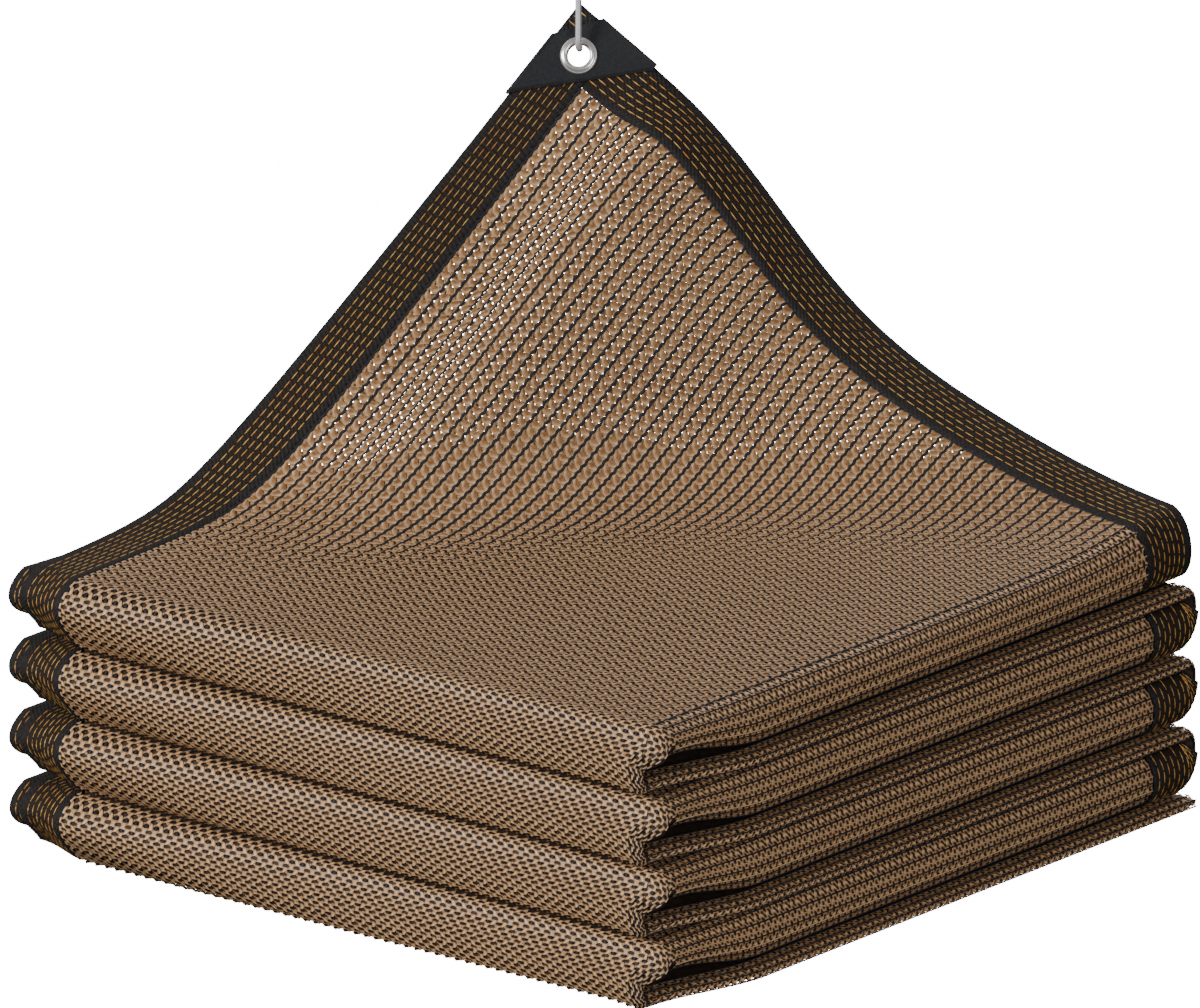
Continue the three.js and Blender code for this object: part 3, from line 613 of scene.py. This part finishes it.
ply_out = directions(cloth_at, *grid)[2]
ply_q = mix(TAPE_WIDTH, SPAN_X, np.minimum(grid[1], 1))
lifted = (grid[0] < 1) & (grid[1] < 1) & (lift_at(ply_q, RUN * grid[0]) > BACKED_BELOW)
ply_faces = grid_faces(len(ply_rows), len(ply_sides))
ply_faces = ply_faces[~lifted.ravel()[ply_faces].any(1)]
net = cloth_piece("net_plies", cloth_at(*grid) - ply_out * PLY_SINK, ply_faces, shaded_net, "knit")
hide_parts("net")

# The side bindings: black woven tape folded over the open hems of both plies and sewn down with
# seven rows of orange and gold stitches. The tape follows the hems through every fold.
TAPE_LOW, TAPE_HIGH = -1.2, 0.6
STITCH_ROWS = np.array([6.5 + 4.2 * k for k in range(7)])
LOBE_ROWS = np.array([4.4, 7.2, 10])
STITCH_LENGTH, STITCH_STEP, STITCH_DRIFT = 5.3, 6.8, 0.4
STITCH_HALF, STITCH_HEIGHT, STITCH_SINK = 0.42, 0.35, 0.05
END_HALF, END_HEIGHT = 0.55, 0.4  # a stitch's ends, as shares of its middle
BROWN_WITHIN, BLACK_BEYOND = 0.7, 0.9  # shares of half the tape's width
WEAVE = 1.5
CORNER_CUT = 56
TAPE_COLUMNS = np.linspace(0, TAPE_WIDTH, 11)


def woven_ribs_group():
    """A coarse plain weave on the piece's own pattern map: the height of ribs that run across and
    along it, one over the other."""
    group = bpy.data.node_groups.new("woven ribs", "ShaderNodeTree")
    group.interface.new_socket("Rib Width", in_out="INPUT", socket_type="NodeSocketFloat")
    group.interface.new_socket("Height", in_out="OUTPUT", socket_type="NodeSocketFloat")
    nodes, links = group.nodes, group.links
    inputs, outputs = nodes.new("NodeGroupInput"), nodes.new("NodeGroupOutput")
    place, parts = nodes.new("ShaderNodeUVMap"), nodes.new("ShaderNodeSeparateXYZ")
    place.uv_map = "pattern"
    links.new(place.outputs["UV"], parts.inputs["Vector"])
    waves = []
    for axis in ("X", "Y"):
        count, wave = nodes.new("ShaderNodeMath"), nodes.new("ShaderNodeMath")
        count.operation, wave.operation = "DIVIDE", "SINE"
        links.new(parts.outputs[axis], count.inputs[0])
        links.new(inputs.outputs["Rib Width"], count.inputs[1])
        links.new(count.outputs["Value"], wave.inputs[0])
        waves.append(wave)
    product, height = nodes.new("ShaderNodeMath"), nodes.new("ShaderNodeMapRange")
    product.operation = "MULTIPLY"
    height.inputs["From Min"].default_value = -1
    links.new(waves[0].outputs["Value"], product.inputs[0])
    links.new(waves[1].outputs["Value"], product.inputs[1])
    links.new(product.outputs["Value"], height.inputs["Value"])
    links.new(height.outputs["Result"], outputs.inputs["Height"])
    return group


black_tape = finish("black binding tape", (0.006, 0.006, 0.007), (0.009, 0.009, 0.011),
                    (0.03, 0.027, 0.027), 20, 520, 0.5, 0.8, highlight_and_second_tone=(0.013, 0.0078, 0.0045))
tape_nodes, tape_links = black_tape.node_tree.nodes, black_tape.node_tree.links
ribs, relief = tape_nodes.new("ShaderNodeGroup"), tape_nodes.new("ShaderNodeBump")
ribs.node_tree = woven_ribs_group()
ribs.inputs["Rib Width"].default_value = WEAVE / 1000 / math.pi
relief.inputs["Strength"].default_value = 0.9
relief.inputs["Distance"].default_value = 0.0006
tape_links.new(ribs.outputs["Height"], relief.inputs["Height"])
tape_links.new(relief.outputs["Normal"], tape_nodes["Principled BSDF"].inputs["Normal"])

stitch_thread = finish("orange and gold stitches", (0.33, 0.115, 0.018), (0.42, 0.18, 0.034),
                       (0.5, 0.27, 0.07), 30, 260, 0.5, 0.5, highlight_and_second_tone=(0.5, 0.3, 0.08))


def closed_slab(surface, rows, columns, low, high, closed=False):
    """Points and faces of a slab on a surface, from low to high along its normal. A closed one runs
    round on itself in the direction of its columns."""
    grid = np.meshgrid(rows, columns, indexing="ij")
    middle, out = surface(*grid), directions(surface, *grid)[2]
    count = middle.shape[0] * middle.shape[1]
    index = np.arange(count).reshape(middle.shape[:2])
    if closed:
        index = np.concatenate([index, index[:, :1]], 1)
    upper = np.stack([index[:-1, :-1], index[1:, :-1], index[1:, 1:], index[:-1, 1:]], -1)
    upper = upper.reshape(-1, 4)
    if closed:
        rims = [index[0], index[-1, ::-1]]
    else:
        rims = [np.concatenate([index[0, :-1], index[:-1, -1], index[-1, :0:-1], index[:0:-1, 0],
                                index[0, :1]])]
    walls = [np.stack([rim[:-1], rim[1:], rim[1:] + count, rim[:-1] + count], -1) for rim in rims]
    faces = np.concatenate([upper, upper[:, ::-1] + count] + walls)
    points = np.concatenate([(middle + out * high).reshape(-1, 3), (middle + out * low).reshape(-1, 3)])
    return points, faces


def tape_band(name, surface, rows, columns, low=TAPE_LOW, high=TAPE_HIGH):
    """A strip of the black tape, with its length and width as the pattern's place. It is brown
    between its edges, where the stitches are, and has more steps along it than across."""
    points, faces = closed_slab(surface, rows, columns, low, high)
    grid = points[:len(rows) * len(columns)].reshape(len(rows), len(columns), 3)
    along = np.linalg.norm(np.diff(grid, axis=0), axis=-1).mean(1).cumsum()
    across = np.linalg.norm(np.diff(grid, axis=1), axis=-1).mean(0).cumsum()
    pattern = np.stack(np.meshgrid(np.append(0, along), np.append(0, across), indexing="ij"), -1) / 1000
    pattern = np.tile(pattern.reshape(-1, 2), (2, 1))
    width = np.linspace(-1, 1, min(len(rows), len(columns)))
    brown = 1 - smooth(BROWN_WITHIN, BLACK_BEYOND, abs(width))
    shade = np.tile(brown, len(rows)) if len(columns) < len(rows) else np.repeat(brown, len(columns))
    return cloth_piece(name, points, faces, black_tape, "binding_tape", np.tile(shade, 2), pattern)


rng = np.random.default_rng(7)


def stitches(name, surface, places, columns, lift=TAPE_HIGH, facing=1, begins=None):
    """Rows of short stitches along a tape: places is a fine list of places along it, columns the
    places across it, and begins where each row of stitches begins. facing is -1 where the surface is
    given the other way round."""
    points, faces, shades, start = [], [], [], 0
    for number, column in enumerate(columns):
        rows = places if begins is None else places[places > begins[number]]
        length = length_along(surface(rows, np.full(len(rows), column)))
        begin = np.arange((number % 2) * STITCH_STEP / 2 + 1, length[-1] - STITCH_LENGTH, STITCH_STEP)
        begin = begin + rng.uniform(-STITCH_DRIFT, STITCH_DRIFT, len(begin))
        rings = []
        for share in (0, 0.5, 1):
            at = np.interp(begin + share * STITCH_LENGTH, length, rows)
            spot = np.full(len(at), column)
            _, across, out = directions(surface, at, spot)
            full = 1 - abs(2 * share - 1)
            centre = surface(at, spot) + out * (facing * (lift - STITCH_SINK))
            width = across * (STITCH_HALF * mix(END_HALF, 1, full))
            crest = out * (facing * STITCH_HEIGHT * mix(END_HEIGHT, 1, full))
            rings.append(np.stack([centre - width, centre + crest, centre + width], 1))
        block = np.stack(rings, 1)
        index = np.arange(block.size // 3).reshape(block.shape[:3]) + start
        for ring in range(2):
            for corner in range(2):
                here, ahead = index[:, ring, corner:corner + 2], index[:, ring + 1, corner:corner + 2]
                faces.append(np.concatenate([here, ahead[:, ::-1]], 1)[:, ::facing])
        points.append(block.reshape(-1, 3))
        shades.append(np.repeat(rng.uniform(0, 1, len(begin)), 9))
        start += block.size // 3
    return cloth_piece(name, np.concatenate(points), np.concatenate(faces), stitch_thread,
                       "binding_tape", np.concatenate(shades))


def outer_hem(row, across):
    """The outer ply's side hem; its top end is cut on the slant, under the corner patch."""
    row, across = paired(row, across)
    mapped = np.where(row < 1, mix((CORNER_CUT - across + GAP) / RUN, 1, row), row)
    return on_strip(outer_place, mapped, HEM_X + across)


def inner_hem(row, across):
    """The inner ply faces the other way, so its tape is counted from the net towards the edge."""
    return on_strip(inner_place, row, INNER_HEM_X + TAPE_WIDTH - across)


hem_rows = list(np.linspace(0, 1, 90))
for stretch in range(1, 2 * PACKETS):
    hem_rows += list((2 * stretch + np.linspace(0, 1, 21))[(stretch == 1):])
    hem_rows += list(2 * stretch + 1 + np.linspace(0, 1, 18)[1:-1])
hem_rows = np.array(hem_rows + [4 * PACKETS])
outer_band = tape_band("side_tape_outer", outer_hem, hem_rows, TAPE_COLUMNS)
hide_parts("binding_side_outer")
inner_band = tape_band("side_tape_inner", inner_hem, hem_rows, TAPE_COLUMNS)
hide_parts("binding_side_inner")
tape_pieces = [outer_band, inner_band,
               stitches("side_stitches_outer", outer_hem, hem_rows, STITCH_ROWS),
               stitches("side_stitches_inner", inner_hem, hem_rows, TAPE_WIDTH - STITCH_ROWS)]
for packet in range(PACKETS):
    near = 2 * (2 * packet + 1)
    lobe = near + np.linspace(0.03, 0.97, 40)
    tape_pieces.append(stitches(f"lobe_stitches_{packet + 1}", inner_hem, lobe,
                                TAPE_WIDTH - LOBE_ROWS, -TAPE_LOW, facing=-1))

# The far binding: the same tape over both plies of the far hem and round the fold between them. It
# ends beside the corner, where the corner's own piece of tape takes over.
far_sides = np.concatenate([np.linspace(0, 0.05, 4), np.linspace(0.07, 1, 70),
                            np.linspace(1, 2, 17)[1:], np.linspace(2, 3, 40)[1:]])
far_hem_length = SPAN_X - UPPER_FOLD_DEPTH - TAPE_WIDTH - GAP
sewn_from = (CORNER_CUT + 2 * GAP - STITCH_ROWS - TAPE_WIDTH - GAP) / far_hem_length


def far_hem(place, side):
    """place runs over the tape's width, from its edge, as a share, and side along the hem."""
    place, side = paired(place, side)
    q = mix(TAPE_WIDTH + GAP, SPAN_X - UPPER_FOLD_DEPTH, np.clip(side, 0, 1))
    cut = np.where(side < 1, np.maximum(CORNER_CUT - q + GAP, 0), 0)
    return cloth_at(mix(cut, far_edge(side), place) / RUN, side)


def along_far_hem(side, place):
    return cloth_at(far_edge(side) / RUN * place, side)


far_band = tape_band("far_tape", far_hem, np.linspace(0, 1, 11), far_sides)
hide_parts("binding_far")
tape_pieces += [far_band, stitches("far_stitches", along_far_hem, far_sides, STITCH_ROWS / TAPE_WIDTH,
                                   facing=-1, begins=sewn_from)]

# The seam tapes: at each far fold the net is joined with the same tape, which lies over the fold
# and over the start of the run below it, with its own rows of stitches.
SEAM_LOW, SEAM_HIGH = 0.9, 1.9
SEAM_END = 1.15
BAND_STEP, SEAM_STITCH_PITCH = 2.2, 4.2
seam_sides = np.concatenate([np.linspace(SEAM_END, 2, 14), np.linspace(2, 3, 40)[1:]])


def along_seam(side, row):
    return cloth_at(row, side)


for packet in range(PACKETS - 1):
    fold = 4 * (packet + 1)
    run_row = fold + 1 + (TAPE_WIDTH - FAR_NOSE_DEPTH) / (FAR_FOLD_Y - NEAR_Y)
    rows = even_rows(cloth_at, fold + 0.5, run_row, BAND_STEP, 2.2)
    seam = tape_band(f"seam_tape_{packet + 1}_band", cloth_at, rows, seam_sides, SEAM_LOW, SEAM_HIGH)
    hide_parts(f"seam_tape_{packet + 1}")
    rows = even_rows(cloth_at, fold + 0.5, run_row, SEAM_STITCH_PITCH, 2.2)[1:-1]
    tape_pieces += [seam, stitches(f"seam_stitches_{packet + 1}", along_seam, seam_sides, rows,
                                   SEAM_HIGH, facing=-1)]

# The corner's piece of tape, of which only the tip shows past the patch. It is pierced for the
# eyelet, and three short rows of stitches cross its tip.
EYELET_X, EYELET_Y, HOLE_R = 23, 20.5, 7
CORNER_BLUNT, TIP_CUT = 3, 19
TIP_STITCHES = (3.2, 6.8, 10.4)


def corner_at(q, p):
    """The drawn-up corner, in plan distances from its side and far hems."""
    q, p = paired(q, p)
    return outer_place(np.zeros(q.shape, int), p / RUN, HEM_X + q)


pierced = np.array([EYELET_X, EYELET_Y], float)
eyelet_centre = corner_at(*pierced)
over_q = (corner_at(EYELET_X + 1, EYELET_Y) - corner_at(EYELET_X - 1, EYELET_Y)) / 2
over_p = (corner_at(EYELET_X, EYELET_Y + 1) - corner_at(EYELET_X, EYELET_Y - 1)) / 2
eyelet_out = np.cross(over_p, over_q)
eyelet_out /= np.linalg.norm(eyelet_out)
eyelet_side = over_q / np.linalg.norm(over_q)
eyelet_up = np.cross(eyelet_out, eyelet_side)
plan_of = np.linalg.pinv(np.stack([over_q, over_p], 1))


def cross_of(a, b):
    return a[..., 0] * b[..., 1] - a[..., 1] * b[..., 0]


def pierced_panel(outline):
    """A surface over a convex outline in plan, with the eyelet's round hole in it. Its rows run
    from the hole to the outline, and its columns are the angles around the hole."""
    corners = np.array(outline, float)
    sides = np.roll(corners, -1, 0) - corners

    def surface(share, angle):
        share, angle = np.broadcast_arrays(share, angle)
        way = np.cos(angle)[..., None] * eyelet_side + np.sin(angle)[..., None] * eyelet_up
        plan = way @ plan_of.T
        reach = np.full(angle.shape, np.inf)
        for corner, side in zip(corners, sides):
            met = cross_of(corner - pierced, side) / cross_of(plan, side)
            reach = np.where(met > 0, np.minimum(reach, met), reach)
        spot = pierced + plan * mix(HOLE_R, reach, share)[..., None]
        return corner_at(spot[..., 0], spot[..., 1])

    towards = (corners - pierced) @ np.stack([over_q, over_p])
    angles = np.arctan2(towards @ eyelet_up, towards @ eyelet_side)
    angles = np.append(np.linspace(-np.pi, np.pi, 97)[:-1], angles)
    return surface, np.unique(np.round(angles, 5))


tip_surface, tip_angles = pierced_panel([(0, 0), (CORNER_CUT - CORNER_BLUNT, 0),
                                         (CORNER_CUT - CORNER_BLUNT, CORNER_BLUNT), (0, CORNER_CUT)])
tip_rows = np.linspace(0, 1, 9)
points, faces = closed_slab(tip_surface, tip_rows, tip_angles, TAPE_LOW, TAPE_HIGH, closed=True)
share, angle = np.meshgrid(tip_rows, tip_angles, indexing="ij")
spots = (tip_surface(share, angle) - eyelet_centre) @ np.stack([eyelet_side, eyelet_up], 1) / 1000
corner_tape = cloth_piece("corner_tape", points, faces, black_tape, "binding_tape",
                          pattern=np.tile(spots.reshape(-1, 2), (2, 1)))
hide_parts("binding_corner")
tape_pieces.append(corner_tape)
for number, p in enumerate(TIP_STITCHES):
    tape_pieces.append(stitches(f"tip_stitches_{number + 1}", corner_at,
                                np.linspace(0.5, TIP_CUT + 2 - p, 40), np.array([p]), facing=-1))

# The corner patch: one piece of smooth coated black cloth, folded over both hems, with a thicker
# welded lip on its slanted edge and down its side.
PATCH_X, PATCH_Y, PATCH_BLUNT, WRAP, STRIP_INSET = 72, 58, 3, 2, 0.1
PATCH_LOW, PATCH_HIGH, PATCH_THICK = -1.5, 0.9, 1
LIP_HALF, LIP_FLATNESS = 0.9, 0.6

coated_cloth = finish("coated black cloth", (0.008, 0.009, 0.011), (0.012, 0.012, 0.014),
                      (0.02, 0.021, 0.024), 26, 700, 0.4, 0.42)
patch_nodes, patch_links = coated_cloth.node_tree.nodes, coated_cloth.node_tree.links
grain = patch_nodes.new("ShaderNodeBump")
grain.inputs["Strength"].default_value = 0.25
grain.inputs["Distance"].default_value = 0.0004
patch_tone = next(node for node in patch_nodes if node.type == "GROUP")
patch_links.new(patch_tone.outputs["Grain"], grain.inputs["Height"])
patch_links.new(grain.outputs["Normal"], patch_nodes["Principled BSDF"].inputs["Normal"])


def patch_leg(q):
    """The patch's slanted edge, in plan from the far hem."""
    return PATCH_Y * (1 - q / PATCH_X)


def corner_across(p, q):
    return corner_at(q, p)


patch_end = PATCH_X - PATCH_BLUNT
strip_start = TIP_CUT + WRAP
patch_surface, patch_angles = pierced_panel([
    (-WRAP, strip_start), (strip_start, -WRAP), (patch_end, -WRAP),
    (patch_end, patch_leg(patch_end)), (-WRAP, patch_leg(-WRAP)),
])
edge = np.linspace(STRIP_INSET - WRAP, -GAP, 3)
panel_rows = np.linspace(0, 1, 13)
face_front, face_back = PATCH_HIGH + PATCH_THICK, PATCH_LOW - PATCH_THICK
strip_front, strip_back = PATCH_HIGH + PATCH_THICK / 2, PATCH_LOW - PATCH_THICK / 2
parts = [
    closed_slab(patch_surface, panel_rows, patch_angles, PATCH_HIGH, face_front, closed=True),
    closed_slab(patch_surface, panel_rows, patch_angles, face_back, PATCH_LOW, closed=True),
    closed_slab(corner_across, np.linspace(strip_start, PATCH_Y - STRIP_INSET, 12), edge,
                strip_back, strip_front),
    closed_slab(corner_across, edge, np.linspace(strip_start, patch_end - WRAP, 12),
                strip_back, strip_front),
]
share = np.linspace(0, 1, 40)
lips = (
    (mix(patch_end, -WRAP, share), patch_leg(mix(patch_end, -WRAP, share)) - LIP_HALF),
    (np.full(len(share), LIP_HALF - WRAP), mix(patch_leg(-WRAP), strip_start, share)),
)
for q, p in lips:
    along = np.gradient(corner_at(q, p), axis=0)
    out = directions(corner_across, p, q)[2]
    sideways = np.cross(out, along)
    sideways /= np.linalg.norm(sideways, axis=1, keepdims=True)
    centre = corner_at(q, p) + out * face_front
    sideways, crest = sideways * LIP_HALF, out * LIP_HALF * LIP_FLATNESS
    parts.append(yarn_tubes(centre[:, None], sideways[:, None], crest[:, None]))
offsets = np.cumsum([0] + [len(points) for points, _ in parts])
patch = cloth_piece("corner_patch_cloth", np.concatenate([points for points, _ in parts]),
                    np.concatenate([faces + start for (_, faces), start in zip(parts, offsets)]),
                    coated_cloth, "coated_cloth")
bpy.context.view_layer.objects.active = patch
patch.select_set(True)
bpy.ops.object.shade_smooth_by_angle(angle=math.radians(40))
patch.select_set(False)
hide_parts("corner_patch")

# The eyelet: one rolled aluminium tube through the corner, turned out over the patch into a rounded
# lip in front and a flatter one behind.
LIP_FRONT, LIP_BACK = 2.2, -2.8
EYELET_PROFILE = (  # radius, height over the cloth
    (6.0, -3.3), (6.0, 2.5), (6.3, 3.2), (6.9, 3.65), (7.6, 3.75), (8.3, 3.5), (8.9, 3.05), (9.2, 2.95),
    (9.6, 3.05), (9.95, 2.7), (10.0, 2.3), (9.8, LIP_FRONT), (6.7, LIP_FRONT), (6.7, LIP_BACK),
    (9.7, LIP_BACK), (10.0, -3.0), (9.8, -3.5), (9.0, -3.85), (7.4, -3.95), (6.4, -3.75),
)
EYELET_STEPS = 64


def metal(name, colour, second, roughness, grain_scale):
    material = finish(name, colour, second, tuple(0.8 * part for part in colour), 60, grain_scale, 0.35,
                      roughness)
    material.node_tree.nodes["Principled BSDF"].inputs["Metallic"].default_value = 0.8
    return material


def metres(point):
    return Vector((np.asarray(point, float) + ORIGIN) / 1000)


aluminium = metal("rolled aluminium", (0.66, 0.65, 0.63), (0.52, 0.51, 0.49), 0.24, 420)
profile = bpy.data.meshes.new("eyelet_roll")
count = len(EYELET_PROFILE)
profile.from_pydata([(radius / 1000, 0, height / 1000) for radius, height in EYELET_PROFILE],
                    [(k, (k + 1) % count) for k in range(count)], [])
eyelet = bpy.data.objects.new("eyelet_roll", profile)
bpy.context.scene.collection.objects.link(eyelet)
bpy.context.view_layer.objects.active = eyelet
eyelet.select_set(True)
bpy.ops.object.mode_set(mode="EDIT")
bpy.ops.mesh.select_all(action="SELECT")
bpy.ops.mesh.spin(steps=EYELET_STEPS, angle=2 * math.pi, center=(0, 0, 0), axis=(0, 0, 1))
bpy.ops.mesh.select_all(action="SELECT")
bpy.ops.mesh.remove_doubles(threshold=1e-5)
bpy.ops.mesh.normals_make_consistent(inside=False)
bpy.ops.object.mode_set(mode="OBJECT")
eyelet.location = metres(eyelet_centre)
eyelet.rotation_euler = Vector(eyelet_out).to_track_quat("Z", "Y").to_euler()
bpy.ops.object.transform_apply(location=True, rotation=True, scale=True)
bpy.ops.object.shade_smooth_by_angle(angle=math.radians(50))
eyelet.select_set(False)
profile.materials.append(aluminium)
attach(eyelet, "root")
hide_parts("eyelet")

# The hook: one length of drawn wire. It is bent round into an eye at the top, comes straight down
# in front of the patch, goes back through the eyelet and ends up along the back of the patch.
WIRE_R, EYE_R, BEND, SHANK, HOOK_END = 1.7, 8, 5, 56, 12
SEAT_RISE, WIRE_CLEAR = 4, 3
SEAT_FRONT, SEAT_REAR = 3.4, -4.0
EYE_FROM, EYE_TO, NECK = math.radians(-65), math.radians(245), 6
CUT_END = 0.6  # the wire's cut ends, as a share of its radius

patch_up = np.array([0, 0, 1]) - eyelet_out[2] * eyelet_out
patch_up /= np.linalg.norm(patch_up)


def hook_point(out, rise):
    return eyelet_centre + eyelet_out * out + patch_up * rise


def curved(start, middle, end, steps=10):
    share = np.linspace(0, 1, steps)[:, None]
    return mix(mix(start, middle, share), mix(middle, end, share), share)


shank_foot = hook_point(SEAT_FRONT + WIRE_CLEAR, SEAT_RISE)
shank_start = shank_foot + np.array([0, 0, BEND])
eye_centre = shank_start + np.array([0, 0, SHANK + EYE_R])
sweep = np.linspace(EYE_FROM, EYE_TO, 40)
eye = eye_centre + EYE_R * np.stack([np.cos(sweep), np.zeros(len(sweep)), np.sin(sweep)], 1)
neck_drop = EYE_R * (math.sin(EYE_TO) - math.cos(EYE_TO) ** 2 / abs(math.sin(EYE_TO)))
neck = eye_centre + np.array([0, 0, neck_drop])
neck_end = neck - np.array([0, 0, NECK])
rear = SEAT_REAR - WIRE_CLEAR
tail = hook_point(rear, SEAT_RISE + BEND)
route = np.concatenate([
    eye, curved(eye[-1], neck, neck_end)[1:],
    mix(neck_end, shank_start, np.linspace(0, 1, 8)[1:, None]),
    curved(shank_start, shank_foot, hook_point(SEAT_FRONT, SEAT_RISE))[1:],
    curved(hook_point(SEAT_REAR, SEAT_RISE), hook_point(rear, SEAT_RISE), tail),
    mix(tail, tail + patch_up * HOOK_END, np.linspace(0, 1, 6)[1:, None]),
])
wire_path = bpy.data.curves.new("hook_wire", "CURVE")
wire_path.dimensions = "3D"
wire_path.bevel_depth = WIRE_R / 1000
wire_path.bevel_resolution = 4
wire_path.use_fill_caps = True
line = wire_path.splines.new("POLY")
line.points.add(len(route) - 1)
for bend, spot in zip(line.points, route):
    bend.co = (*metres(spot), 1)
line.points[0].radius = line.points[-1].radius = CUT_END
hook = bpy.data.objects.new("hook_wire", wire_path)
bpy.context.scene.collection.objects.link(hook)
bpy.context.view_layer.objects.active = hook
hook.select_set(True)
bpy.ops.object.convert(target="MESH")
bpy.ops.object.shade_smooth_by_angle(angle=math.radians(60))
hook.select_set(False)
hook.data.materials.append(metal("drawn steel wire", (0.8, 0.8, 0.81), (0.66, 0.66, 0.68), 0.5, 900))
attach(hook, "root")
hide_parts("hook")
